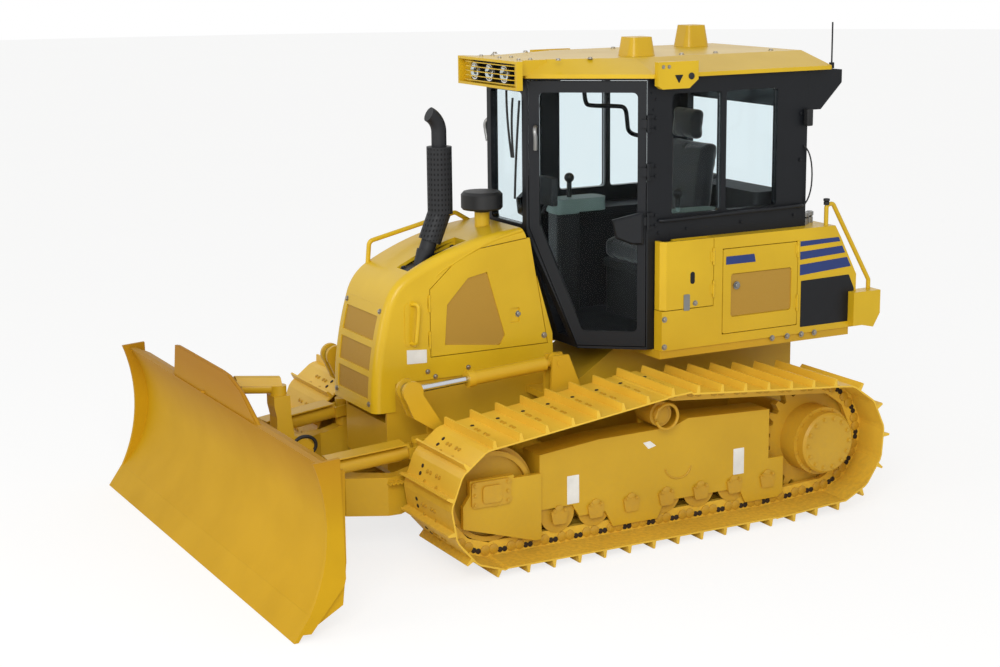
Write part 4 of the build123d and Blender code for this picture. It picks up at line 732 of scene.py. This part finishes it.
# %% Mesh in the doors
service_window = [(-1.068, 1.475), (-1.526, 1.475), (-1.526, 1.215), (-1.068, 1.215)]
engine_window = [(0.247, 1.155), (0.365, 1.553), (0.493, 1.529), (0.635, 1.380), (0.653, 1.139), (0.282, 1.097)]
MESH_DEPTH = 0.012                # how far the mesh lies inside the face round it
both_sheets("service_mesh", service_window, PANEL_Y - MESH_DEPTH,
            ("service_door_", punched_sheet, "machine_yellow"), 0.018, 0.006)
both_sheets("engine_mesh", engine_window, HOOD_Y - MESH_DEPTH,
            ("engine_door_", punched_sheet, "machine_yellow"), 0.02, 0.006)
print("mesh windows: 4")

# %% Mesh in the nose
AHEAD_X = 2.0                     # a place in front of the nose, from where it is felt for
nose = frame["nodes"]["nose_grille"]


def nose_sheet(name, low, high, half, lift):
    """A sheet that follows the nose's curve between two heights, lifted off the solid under it."""
    pick()
    bpy.ops.mesh.primitive_grid_add(x_subdivisions=2, y_subdivisions=8, size=1, location=(0, 0, 0))
    sheet = bpy.context.object
    for corner in sheet.data.vertices:
        y, z = 2 * half * corner.co.x, low + (high - low) * (corner.co.y + 0.5)
        inside_z = min(max(z, low + 0.004), high - 0.004)
        hit, place, normal, face = nose.ray_cast((AHEAD_X, y * 0.96, inside_z), (-1, 0, 0))
        corner.co = (place.x + lift, y, z)
    thicken(sheet, 0.002)
    return settle(sheet, name, "machine", punched_sheet, "machine_yellow")


for row, (low, high) in enumerate(((1.195, 1.340), (1.015, 1.155), (0.845, 0.980))):
    nose_sheet(f"nose_mesh_{row + 1}", low, high, 0.221, 0.004)
nose_bolts = []
for y, z in ((-0.238, 1.37), (0.238, 1.37), (-0.238, 0.82), (0.238, 0.82)):
    hit, place, normal, face = nose.ray_cast((AHEAD_X, y, z), (-1, 0, 0))
    if hit:
        nose_bolts.append((place, normal, 0.012))
set_out(bolt, "nose_bolts", nose_bolts, *ZINC_LOOK)
print("nose bolts:", len(nose_bolts))

# %% Stripes, blank panel and plates
# z of each stripe's top and bottom at its front and at its rear end
stripes = ((1.636, 1.604, 1.640, 1.612), (1.570, 1.520, 1.582, 1.536), (1.488, 1.421, 1.506, 1.445))
STRIPE_FRONT_X = -1.590
CORNER_X, CORNER_Z = -1.887, 1.639    # where the sloping rear edge starts
SLOPE = (2.035 - 1.905) / (1.639 - 1.390)
for row, (top, bottom, rear_top, rear_bottom) in enumerate(stripes):
    edge_top = CORNER_X - SLOPE * (CORNER_Z - rear_top)
    edge_low = CORNER_X - SLOPE * (CORNER_Z - rear_bottom)
    band = [(STRIPE_FRONT_X, top), (edge_top, rear_top), (edge_low, rear_bottom), (STRIPE_FRONT_X, bottom)]
    both_sheets(f"stripe_{row + 1}", band, PANEL_Y, ("machine", stripe_blue, "machine_yellow"))
rear_panel = [(-1.600, 1.385), (-1.975, 1.392), (-2.018, 1.300), (-2.018, 1.090), (-1.600, 1.090)]
both_sheets("rear_panel", rear_panel, PANEL_Y, PANEL_LOOK, 0.006)
badge = [(-1.03, 1.590), (-1.24, 1.590), (-1.25, 1.540), (-1.03, 1.540)]
both_sheets("badge", badge, PANEL_Y, ("service_door_", stripe_blue, "machine_yellow"), 0.004)
lock_plate = [(-0.722, 1.385), (-0.766, 1.385), (-0.766, 1.285), (-0.722, 1.285)]
both_sheets("lock_plate", lock_plate, PANEL_Y, ("side_cover_", bare_steel, "chrome_rod"), 0.008, 0.004)
notice = [(0.905, 1.135), (0.775, 1.125), (0.775, 1.045), (0.905, 1.050)]
both_sheets("notice", notice, HOOD_Y, LABEL_LOOK, 0.003)
print("stripes:", 2 * len(stripes))

# %% [markdown]
# ## Operator's seat
# The seat is two foam pads and a headrest under woven cloth. Each pad starts as a rounded block
# a little smaller than its place, is remeshed into an even net, and is blown up gently as cloth
# so that its faces crown and its sides pull in.

# %% Seat pads
PAD_MOVE = 0.022                  # the furthest that a point travels as the pad swells
NET_FINE, NET_QUICK = 0.008, 0.012


def pad_block(low, high, lean):
    """A rounded block from its low corner to its high corner, leaned back about its foot."""
    pick()
    middle = [(a + b) / 2 for a, b in zip(low, high)]
    bpy.ops.mesh.primitive_cube_add(size=1, location=middle)
    block = bpy.context.object
    block.scale = [b - a for a, b in zip(low, high)]
    bpy.ops.object.transform_apply(location=True, rotation=False, scale=True)
    choose(block, lambda middle, normal: True)
    bpy.ops.mesh.bevel(offset=0.03, segments=3)
    bpy.ops.transform.rotate(value=lean, orient_axis="Y", center_override=(high[0], middle[1], low[2]))
    close()
    return block


def blow_up(block, pressure=4.0):
    """Swells the block as sealed cloth, with each point's travel capped."""
    net = block.modifiers.new("net", "REMESH")
    net.mode, net.voxel_size = "VOXEL", NET_FINE
    pick(block)
    bpy.ops.object.modifier_apply(modifier=net.name)
    rest = [corner.co.copy() for corner in block.data.vertices]
    cloth_sim = block.modifiers.new("cloth", "CLOTH")
    cloth_sim.settings.use_pressure = True
    cloth_sim.settings.uniform_pressure_force = pressure
    cloth_sim.settings.effector_weights.gravity = 0
    scene = bpy.context.scene
    for step in range(1, 21):
        scene.frame_set(step)
    pick(block)
    bpy.ops.object.modifier_apply(modifier=cloth_sim.name)
    scene.frame_set(1)
    for corner, start in zip(block.data.vertices, rest):
        travel = corner.co - start
        if travel.length > PAD_MOVE:
            corner.co = start + travel.normalized() * PAD_MOVE
    smooth = block.modifiers.new("smooth", "SUBSURF")
    smooth.levels = smooth.render_levels = 1
    pick(block)
    bpy.ops.object.modifier_apply(modifier=smooth.name)
    return block


seat_low, seat_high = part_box("seat")
# low corner, high corner, lean in radians
seat_pads = {
    "seat_cushion": ((-1.190, -0.235, 1.475), (-0.765, 0.235, 1.585), 0.0),
    "seat_back": ((-1.300, -0.225, 1.600), (-1.215, 0.225, 2.235), 0.10),
    "seat_headrest": ((-1.300, -0.140, 2.235), (-1.225, 0.140, 2.425), 0.06),
}
for name, (low, high, lean) in seat_pads.items():
    pad_piece = blow_up(pad_block(low, high, lean))
    settle(pad_piece, name, "machine", seat_cloth, "seat_fabric", smooth=180)
    print(name, len(pad_piece.data.vertices), "points")

# %% Seat frame under the pads
seat_pan = rounded_box((-1.230, -0.235, 1.405), (-0.770, 0.235, 1.465), 0.015, 2)
settle(seat_pan, "seat_pan", *RUBBER_LOOK)
seat_shell = rounded_box((-1.300, -0.200, 1.450), (-1.250, 0.200, 1.590), 0.018, 2)
settle(seat_shell, "seat_shell", *RUBBER_LOOK)
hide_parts("seat")
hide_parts("seat")
print("seat box:", [round(v, 3) for v in seat_low], [round(v, 3) for v in seat_high])

# %% [markdown]
# ## Tubes
# Handles, wire guards, wipers and clipped hoses are all round bar on a path. Each is a smooth
# curve given a round section and then turned into a mesh, so that its bends are true arcs.

# %% A bent tube
def tube(name, runs, radius, body, finish, slot, order=3, sides=3):
    """Round bar along one or more lists of control points."""
    curve = bpy.data.curves.new(name, "CURVE")
    curve.dimensions = "3D"
    curve.bevel_depth, curve.bevel_resolution, curve.resolution_u = radius, sides, 5
    curve.use_fill_caps = True
    for points in runs:
        spline = curve.splines.new("NURBS")
        spline.points.add(len(points) - 1)
        for point, place in zip(spline.points, points):
            point.co = (*place, 1)
        spline.order_u = min(order, len(points))
        spline.use_endpoint_u = True
    piece = bpy.data.objects.new(name, curve)
    bpy.context.scene.collection.objects.link(piece)
    pick(piece)
    bpy.ops.object.convert(target="MESH")
    return settle(bpy.context.object, name, body, finish, slot, smooth=60)


# %% Hood handles and the exhaust's foot
GRIP_X, GRIP_TOP, GRIP_LOW = 0.845, 1.405, 1.175
for side, sign in SIDES:
    grip = [(GRIP_X + 0.02, sign * 0.305, GRIP_TOP), (GRIP_X, sign * 0.352, GRIP_TOP + 0.012),
            (GRIP_X - 0.004, sign * 0.356, GRIP_TOP - 0.04), (GRIP_X + 0.014, sign * 0.356, GRIP_LOW + 0.04),
            (GRIP_X + 0.018, sign * 0.352, GRIP_LOW - 0.012), (GRIP_X + 0.03, sign * 0.305, GRIP_LOW)]
    tube(f"grab_handle_{side}", [grip], 0.013, *BODY_LOOK)
grip_pad = [(0.915, 1.40), (0.885, 1.42), (0.885, 1.15), (0.915, 1.17)]
side_sheet("handle_pad_left", grip_pad, HOOD_Y - 0.004, 1, *BODY_LOOK, 0.01, 0.008)
bead = [(0.745, 0.296, 1.500), (0.720, 0.300, 1.560), (0.560, 0.300, 1.640),
        (0.330, 0.300, 1.745), (0.120, 0.296, 1.782)]
tube("shoulder_rail", [bead], 0.012, *BODY_LOOK)
# the exhaust's foot lies in a recess that slopes down to the front
FOOT_FRONT, FOOT_REAR = (0.860, 1.571), (0.470, 1.688)
foot_lean = math.atan2(FOOT_REAR[1] - FOOT_FRONT[1], FOOT_FRONT[0] - FOOT_REAR[0])
foot_normal = (math.sin(foot_lean), 0, math.cos(foot_lean))
foot_bolts = [((x, y, FOOT_FRONT[1] + (FOOT_FRONT[0] - x) * math.tan(foot_lean) + 0.010), foot_normal, 0.013)
              for x in (0.500, 0.825) for y in (0.118, 0.222)]
set_out(bolt, "foot_bolts", foot_bolts, *RUBBER_LOOK)
print("foot bolts:", len(foot_bolts))

# %% [markdown]
# ## Door handle, wiper and the bars inside the cab
# The door opens with a pale cast pull on its front post. The wiper hangs from the top of the
# front pane. Inside, a bent bar runs along the right window for the operator to hold, and a
# straight one crosses each rear window low down.

# %% Cab trim
wiper = [
    [(0.066, 0.02, 2.60), (0.078, 0.04, 2.42), (0.076, 0.10, 2.20)],
    [(0.070, 0.19, 2.55), (0.072, 0.14, 2.20), (0.068, 0.12, 1.95)],
    [(0.066, 0.10, 2.56), (0.078, 0.09, 2.40), (0.076, 0.12, 2.20)],
]
tube("wiper", wiper, 0.007, *RUBBER_LOOK)
for side, sign in SIDES:
    pull = [(0.022, sign * 0.300, 2.400), (0.038, sign * 0.318, 2.385),
            (0.032, sign * 0.322, 2.33), (0.026, sign * 0.306, 2.262)]
    tube(f"door_pull_{side}", [pull], 0.013, f"cab_door_{side}", bare_steel, "chrome_rod")
bar_path = [(-0.868, 2.52), (-0.872, 2.425), (-0.920, 2.408), (-1.124, 2.397),
            (-1.190, 2.385), (-1.203, 2.299), (-1.211, 2.205), (-1.290, 2.190)]
tube("grip_bars", [[(x, -0.630, z) for x, z in bar_path]], 0.015, *DARK_LOOK)
window_bars = [[(-0.60, sign * 0.712, 1.835), (-0.60, sign * 0.735, 1.835), (-1.10, sign * 0.738, 1.845),
                (-1.66, sign * 0.735, 1.850), (-1.66, sign * 0.705, 1.850)] for side, sign in SIDES]
tube("window_bars", window_bars, 0.011, *DARK_LOOK)
rear_wires = [[(-1.665, sign * 0.705, 2.22), (-1.705, sign * 0.735, 2.18), (-1.712, sign * 0.735, 1.90),
               (-1.665, sign * 0.705, 1.84)] for side, sign in SIDES]
tube("rear_wires", rear_wires, 0.005, *RUBBER_LOOK)

# %% Hinge bolts on the cab's posts
POST_Y = 0.700                    # the faces of the rear posts
post_bolts = []
for z in (2.421, 2.134, 1.839):
    post_bolts += side_bolts([(-0.575, POST_Y, z + 0.03), (-0.575, POST_Y, z - 0.03), (-1.640, POST_Y, z)], 0.010)
sill_bolts = ((-0.60, 1.76), (-0.80, 1.77), (-1.20, 1.78), (-1.60, 1.79))
post_bolts += side_bolts([(x, POST_Y, z) for x, z in sill_bolts], 0.009)
post_bolts += side_bolts([(-0.545, POST_Y, 2.60), (-0.575, POST_Y, 2.56), (-0.560, POST_Y, 2.50)], 0.007)
set_out(bolt, "post_bolts", post_bolts, *DARK_LOOK)
print("post bolts:", len(post_bolts))

# %% [markdown]
# ## Roof lamps and their guard
# Three round lamps sit in the visor. A lamp is a dished mirror behind a domed lens in a black
# bezel: a disc whose face is inset and pushed in, and a low dome. Bent wires guard them.

# %% Lamps
LAMP_X, LAMP_Z, LAMP_R = 0.1667, 2.710, 0.052
ROOF_Z, BRACKET_Y = 2.795, 0.775


def dish(name, y):
    """A mirror bowl and its lens, facing forward at y."""
    pick()
    bpy.ops.mesh.primitive_cylinder_add(
        vertices=28, radius=LAMP_R, depth=0.012, location=(LAMP_X, y, LAMP_Z), rotation=(0, math.pi / 2, 0))
    bowl = bpy.context.object
    bpy.ops.object.transform_apply(location=True, rotation=True, scale=True)
    choose(bowl, lambda middle, normal: normal.x > 0.9)
    bpy.ops.mesh.inset(thickness=0.006)
    for inset, push in ((0.016, -0.006), (0.014, -0.004)):
        bpy.ops.mesh.inset(thickness=inset)
        bpy.ops.transform.translate(value=(push, 0, 0))
    close()
    settle(bowl, f"{name}_bowl", "machine", lamp_bowl, "chrome_rod", smooth=50)
    pick()
    bpy.ops.mesh.primitive_uv_sphere_add(segments=24, ring_count=12, radius=1, location=(LAMP_X + 0.007, y, LAMP_Z))
    lens = bpy.context.object
    lens.scale = (0.007, LAMP_R - 0.007, LAMP_R - 0.007)
    bpy.ops.object.transform_apply(location=True, rotation=True, scale=True)
    settle(lens, f"{name}_lens", "machine", lamp_pane, "glass", smooth=60)


for number, y in enumerate((-0.190, 0.0, 0.190)):
    dish(f"roof_lamp_{number + 1}", y)
guard = [[(0.150, -0.352, z), (0.186, -0.330, z), (0.188, 0.0, z), (0.186, 0.330, z), (0.150, 0.352, z)]
         for z in (2.655, 2.682, 2.710, 2.738, 2.765)]
tube("lamp_guard", guard, 0.0035, *BODY_LOOK, sides=1)
roof_bolts = [((x, y, ROOF_Z), UP, 0.012) for x in (-0.08, -0.30, -0.95, -1.20, -1.62) for y in (-0.40, 0.40)]
roof_bolts += [((x, y, ROOF_Z), UP, 0.010) for x in (0.02, 0.10) for y in (-0.24, 0.0, 0.24)]
roof_bolts += side_bolts([(-0.575, BRACKET_Y, 2.755), (-0.615, BRACKET_Y, 2.755)], 0.008)
set_out(bolt, "roof_bolts", roof_bolts, *ZINC_LOOK)
# painted shade: a dark sheet stands in for the shade inside the bracket's hole
both_sheets("bracket_hole_shade", [(-0.655, 2.705), (-0.715, 2.705), (-0.685, 2.655)], BRACKET_Y, PANEL_LOOK, 0.006)
set_out(pad, "bracket_plugs", side_bolts([(-0.772, BRACKET_Y, 2.695)], 0.020), *RUBBER_LOOK)
print("roof bolts:", len(roof_bolts))

# %% [markdown]
# ## Track hardware
# The chain runs round four wheels. The same round of lines and arcs that a belt would take
# gives each shoe's place, so its bolts, link bosses, and the dark discs of painted shade in
# its mud holes and in the windows of its links can be copied to all of them.

# %% Where each shoe lies
# x, z and pin-line radius of each wheel, in order of travel
WHEELS = ((IDLER_X, IDLER_Z, 0.312), (-1.170, 0.2353, 0.1433),
          (DRIVE_X, DRIVE_Z, 0.326), (CARRIER_X, CARRIER_Z, 0.1233))
SHOES = 39
PIN_TO_SHOE = 0.048               # from the pins out to the shoe plates
LINK_FACE = 0.074                 # from the track's middle to the links' faces


def belt_places(count):
    """Point and heading of count even steps round the belt."""
    headings = []
    for at, (x, z, r) in enumerate(WHEELS):
        nx, nz, nr = WHEELS[(at + 1) % len(WHEELS)]
        spread = math.acos((r - nr) / math.hypot(nx - x, nz - z))
        headings.append(math.atan2(nz - z, nx - x) + spread - math.pi / 2)
    legs = []
    for at, (x, z, r) in enumerate(WHEELS):
        turn = (headings[at - 1] - headings[at]) % (2 * math.pi)
        legs.append((r * turn, x, z, r, headings[at - 1]))
        side = headings[at] + math.pi / 2
        nx, nz, nr = WHEELS[(at + 1) % len(WHEELS)]
        start = (x + r * math.cos(side), z + r * math.sin(side))
        end = (nx + nr * math.cos(side), nz + nr * math.sin(side))
        legs.append((math.dist(start, end), *start, 0, headings[at]))
    pitch = sum(leg[0] for leg in legs) / count
    places = []
    for step in range(count):
        along = step * pitch
        for length, x, z, r, heading in legs:
            if along <= length:
                break
            along -= length
        if r:
            side = heading + math.pi / 2 - along / r
            places.append((x + r * math.cos(side), z + r * math.sin(side), side - math.pi / 2))
        else:
            places.append((x + along * math.cos(heading), z + along * math.sin(heading), heading))
    return places, pitch


shoe_places, shoe_pitch = belt_places(SHOES)
print("shoes:", SHOES, "pitch:", round(shoe_pitch, 4))

# %% Shoe bolts, chain links, windows and mud holes
shoe_bolts, link_bosses, link_window_shade, mud_hole_shade = [], [], [], []
for x, z, heading in shoe_places:
    forward = Vector((math.cos(heading), 0, math.sin(heading)))
    out = Vector((-math.sin(heading), 0, math.cos(heading)))
    pin = Vector((x, 0, z))

    def at(along, away, y, size, facing=out):
        """A place on both tracks: along the chain from this pin, away from it, and sideways."""
        point = pin + along * forward + away * out
        for side in (1, -1):
            yield ((point.x, side * y, point.z), facing or (0, side, 0), size)

    for shift in (-0.03, 0.03):
        for across in (-0.075, -0.038, 0.038, 0.075):
            if shift < 0 or abs(across) > 0.05:
                shoe_bolts += at(shift, PIN_TO_SHOE, TRACK_Y + across, 0.009)
    for share in (-0.34, 0.34):
        link_bosses += at(share * shoe_pitch, 0, TRACK_Y + LINK_FACE, 0.030, None)
    for share in (-0.09, 0.09):
        link_window_shade += at(share * shoe_pitch, 0.012, TRACK_Y + LINK_FACE, 0.0165, None)
    for shift in (-0.045, 0.0):
        mud_hole_shade += at(shift, PIN_TO_SHOE, TRACK_Y - 0.150, 0.012)
# painted shade: dark discs stand in for the shade inside the links' windows and the shoes' mud holes
painted_hole_shade = plain("painted_hole_shade", rgb("2A1C0B"), 0.8)
set_out(bolt, "shoe_bolts", shoe_bolts, *TRACK_LOOK)
small_pad = unit_pad(sides=10)
set_out(small_pad, "link_bosses", link_bosses, *TRACK_LOOK)
set_out(small_pad, "link_window_shade", link_window_shade, "machine", painted_hole_shade, "dark_paint")
set_out(small_pad, "mud_hole_shade", mud_hole_shade, "machine", painted_hole_shade, "dark_paint")
put_away(small_pad)
print("shoe bolts:", len(shoe_bolts), "link bosses:", len(link_bosses))
print("link windows:", len(link_window_shade), "mud holes:", len(mud_hole_shade))

# %% Roller brackets, idler block and plates on the track frame
BLOCK_THICK = 0.014
for number, x in enumerate(ROLLER_XS):
    hanger = [(x - 0.058, 0.262), (x + 0.058, 0.262), (x + 0.042, 0.180), (x - 0.042, 0.180)]
    both_sheets(f"roller_hanger_{number + 1}", hanger, FRAME_FACE_Y, TRACK_LOOK, 0.012, 0.012)
idler_block = [(0.885, 0.516), (0.635, 0.516), (0.635, 0.366), (0.885, 0.366)]
both_sheets("idler_block", idler_block, YOKE_FACE_Y, TRACK_LOOK, 0.02, BLOCK_THICK)
idler_cap = [(0.82, 0.49), (0.70, 0.49), (0.70, 0.39), (0.82, 0.39)]
both_sheets("idler_cap", idler_cap, YOKE_FACE_Y + BLOCK_THICK, TRACK_LOOK, 0.02, 0.012)
for number, (front, rear, low, high) in enumerate(((0.251, 0.171, 0.287, 0.457), (-0.916, -0.994, 0.293, 0.456))):
    plate = [(front, high), (rear, high), (rear, low), (front, low)]
    both_sheets(f"frame_plate_{number + 1}", plate, FRAME_FACE_Y, LABEL_LOOK, 0.004)
frame_mark = [(-0.267, 0.585), (-0.316, 0.590), (-0.358, 0.556), (-0.305, 0.543)]
both_sheets("frame_mark", frame_mark, FRAME_FACE_Y, LABEL_LOOK)
weld_path = [(-0.425, 0.400), (-0.435, 0.360), (-0.516, 0.325), (-0.595, 0.350), (-0.605, 0.395)]
weld_arcs = [[(x, sign * FRAME_FACE_Y, z) for x, z in weld_path] for side, sign in SIDES]
tube("weld_arcs", weld_arcs, 0.006, *TRACK_LOOK, sides=2)
block_bolts = [(x, YOKE_FACE_Y + BLOCK_THICK, z) for x in (0.655, 0.865) for z in (0.386, 0.441, 0.496)]
set_out(bolt, "block_bolts", side_bolts(block_bolts, 0.010), *TRACK_LOOK)
print("block bolts:", 2 * len(block_bolts))

# %% [markdown]
# ## Covers, knobs and lamps at the rear
# The hinged covers have an oval finger hole, a dark sheet of painted shade, and a round lock.
# Four breathers and two rubber knobs stand on the rear deck and rails. A flat work lamp hangs
# on each rear post of the cab. Inside are a monitor on its stalk, and a cabinet behind the seat.

# %% Rear fittings
# painted shade: a dark sheet stands in for the shade inside the finger hole
finger_hole_shade = [(-0.770, 1.520), (-0.802, 1.520), (-0.802, 1.445), (-0.770, 1.445)]
both_sheets("finger_hole_shade", finger_hole_shade, PANEL_Y, ("side_cover_", panel_black, "dark_paint"), 0.015, 0.001)
cover_bolt("service_latch", "service_door", (-1.110, PANEL_Y, 1.405), 0.017, bare_steel, "chrome_rod")
cover_bolt("engine_latch", "engine_door", (0.150, HOOD_Y - 0.010, 1.275), 0.014, bare_steel, "chrome_rod")


def capped_post(name, place, radius, height, finish, slot):
    """A turned post with a waist and a domed cap, standing at place."""
    x, y, z = place
    pick()
    bpy.ops.mesh.primitive_cylinder_add(
        vertices=20, radius=radius, depth=height * 0.5, location=(x, y, z + height * 0.25))
    post = bpy.context.object
    bpy.ops.object.transform_apply(location=True, rotation=True, scale=True)
    choose(post, lambda middle, normal: normal.z > 0.9)
    bpy.ops.mesh.inset(thickness=radius * 0.4)
    bpy.ops.mesh.extrude_region_move(TRANSFORM_OT_translate={"value": (0, 0, height * 0.15)})
    bpy.ops.transform.resize(value=(1.9, 1.9, 1))
    bpy.ops.mesh.extrude_region_move(TRANSFORM_OT_translate={"value": (0, 0, height * 0.3)})
    bpy.ops.mesh.inset(thickness=radius * 0.4)
    bpy.ops.transform.translate(value=(0, 0, height * 0.06))
    close()
    return settle(post, name, "machine", finish, slot)


DECK_Z, RAIL_TOP_Z = 1.7147, 1.848
for number, (x, y) in enumerate(((-1.735, 0.640), (-1.800, 0.600), (-1.735, -0.640), (-1.800, -0.600))):
    capped_post(f"breather_{number + 1}", (x, y, DECK_Z), 0.022, 0.075, bare_steel, "chrome_rod")
for number, y in enumerate((0.770, -0.770)):
    capped_post(f"rail_knob_{number + 1}", (-1.800, y, RAIL_TOP_Z), 0.018, 0.04, black_rubber, "dark_paint")


def dark_case(name, low, high, round_by):
    """A moulded case from its low to its high corner, with rounded edges and a sunk rear face."""
    case = rounded_box(low, high, round_by, 3)
    choose(case, lambda middle, normal: normal.x < -0.99)
    bpy.ops.mesh.inset(thickness=round_by * 0.6)
    bpy.ops.transform.translate(value=(round_by * 0.5, 0, 0))
    close()
    return settle(case, name, *RUBBER_LOOK)


dark_case("rear_lamp_left", (-1.700, 0.702, 2.345), (-1.655, 0.748, 2.450), 0.008)
dark_case("rear_lamp_right", (-1.700, -0.748, 2.345), (-1.655, -0.702, 2.450), 0.008)
dark_case("monitor", (-0.165, 0.060, 1.900), (-0.120, 0.245, 2.075), 0.010)
tube("monitor_stalk", [[(-0.14, 0.15, 1.91), (-0.10, 0.15, 1.84), (-0.04, 0.15, 1.82)]], 0.012, *RUBBER_LOOK)
dark_case("rear_cabinet", (-1.640, -0.620, 1.730), (-1.400, -0.100, 1.960), 0.030)
print("rear fittings done")

# %% Lock box on the door
DOOR_FOOT = Vector((0.060, 0.250, 0.0))
DOOR_RUN = Vector((-0.580, 0.450, 0.0)).normalized()
DOOR_OUT = Vector((0.450, 0.580, 0.0)).normalized()
# along the door from its front post, and up
lock_outline = [(0.545, 1.735), (0.520, 1.845), (0.700, 1.895), (0.712, 1.890), (0.712, 1.700), (0.640, 1.700)]
for side, sign in SIDES:
    mirror = Vector((1, sign, 1))
    out = DOOR_OUT * mirror
    pick()
    bpy.ops.mesh.primitive_circle_add(vertices=len(lock_outline), radius=1, fill_type="NGON", location=(0, 0, 0))
    lock_box = bpy.context.object
    for corner, (along, z) in zip(lock_box.data.vertices, lock_outline):
        place = DOOR_FOOT + along * DOOR_RUN + 0.002 * DOOR_OUT
        corner.co = (place.x, sign * place.y, z)
    choose(lock_box, lambda middle, normal: True)
    bpy.ops.mesh.extrude_region_move(TRANSFORM_OT_translate={"value": 0.028 * out})
    bpy.ops.mesh.inset(thickness=0.012)
    bpy.ops.transform.translate(value=0.012 * out)
    close()
    settle(lock_box, f"door_lock_{side}", f"cab_door_{side}", dark_paint, "dark_paint", smooth=20)
print("door locks: 2")

# %% [markdown]
# ## Blade and linkage trim
# The spill guard has a round lip along its top, the tilt cylinder a folded guard over it, and the
# C-frame a toothed step on each arm. A loop of hose hangs at the tower's foot. The carrier
# rollers have a ring each, and a thin line hangs inside the left door.

# %% Lip and guard
LIP_X = 1.985
lip = [(-0.715, 0.900), (-0.672, 1.104), (0.242, 1.104), (0.450, 1.046), (0.722, 0.900)]
tube("guard_lip", [[(LIP_X, y, z) for y, z in lip]], 0.010, "blade", shaded_blade_paint, "machine_yellow", order=2)
pick()
bpy.ops.mesh.primitive_grid_add(x_subdivisions=6, y_subdivisions=4, size=1, location=(0, 0, 0))
tilt_guard = bpy.context.object
hinge_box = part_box("tilt_barrel")
for corner in tilt_guard.data.vertices:
    along = corner.co.x + 0.5
    x = 1.585 + along * 0.235
    y = -0.012 - along * 0.115 + corner.co.y * 0.095
    corner.co = (x, y, 0.992 + 0.004 * along - 0.05 * (2 * abs(corner.co.y)) ** 3)
thicken(tilt_guard, 0.006, 1)
settle(tilt_guard, "tilt_guard", "tilt_barrel", work_paint, "machine_yellow")
print("tilt barrel box:", [round(v, 3) for v in hinge_box[0]], [round(v, 3) for v in hinge_box[1]])

# %% Steps, hoses and rings
ARM_FACE_Y, STEP_X, STEP_Z, TEETH = 0.605, 1.10, 0.440, 14
for side, sign in SIDES:
    pick()
    bpy.ops.mesh.primitive_grid_add(x_subdivisions=TEETH, y_subdivisions=1, size=1, location=(0, 0, 0))
    step = bpy.context.object
    for corner in step.data.vertices:
        tooth = 0.006 if round((corner.co.x + 0.5) * TEETH) % 2 else -0.006
        y = sign * (ARM_FACE_Y + 0.022) + corner.co.y * 0.045
        corner.co = (STEP_X + corner.co.x * 0.17, y, STEP_Z + tooth)
    thicken(step, 0.008)
    settle(step, f"arm_step_{side}", "c_frame", work_paint, "machine_yellow")


def loop(count, x, y, z, wide, high):
    """Points half a radian apart round an upright loop that faces sideways."""
    return [(x + wide * math.cos(0.5 * n), y, z + high * math.sin(0.5 * n)) for n in range(count)]


tower_hose = loop(12, 1.470, 0.060, 0.570, 0.075, 0.060)
tube("tower_hose", [tower_hose], 0.011, "c_frame", black_rubber, "dark_paint")
door_strut = [(-0.700, 0.690, 2.330), (-0.690, 0.695, 2.000), (-0.680, 0.690, 1.800)]
tube("door_strut", [door_strut], 0.005, *RUBBER_LOOK)
RING_Y, RING_R = TRACK_Y + 0.150, 0.078
carrier_rings = [loop(13, CARRIER_X, sign * RING_Y, CARRIER_Z, RING_R, RING_R) for side, sign in SIDES]
tube("carrier_rings", carrier_rings, 0.010, *TRACK_LOOK)

put_away(bolt, pad)
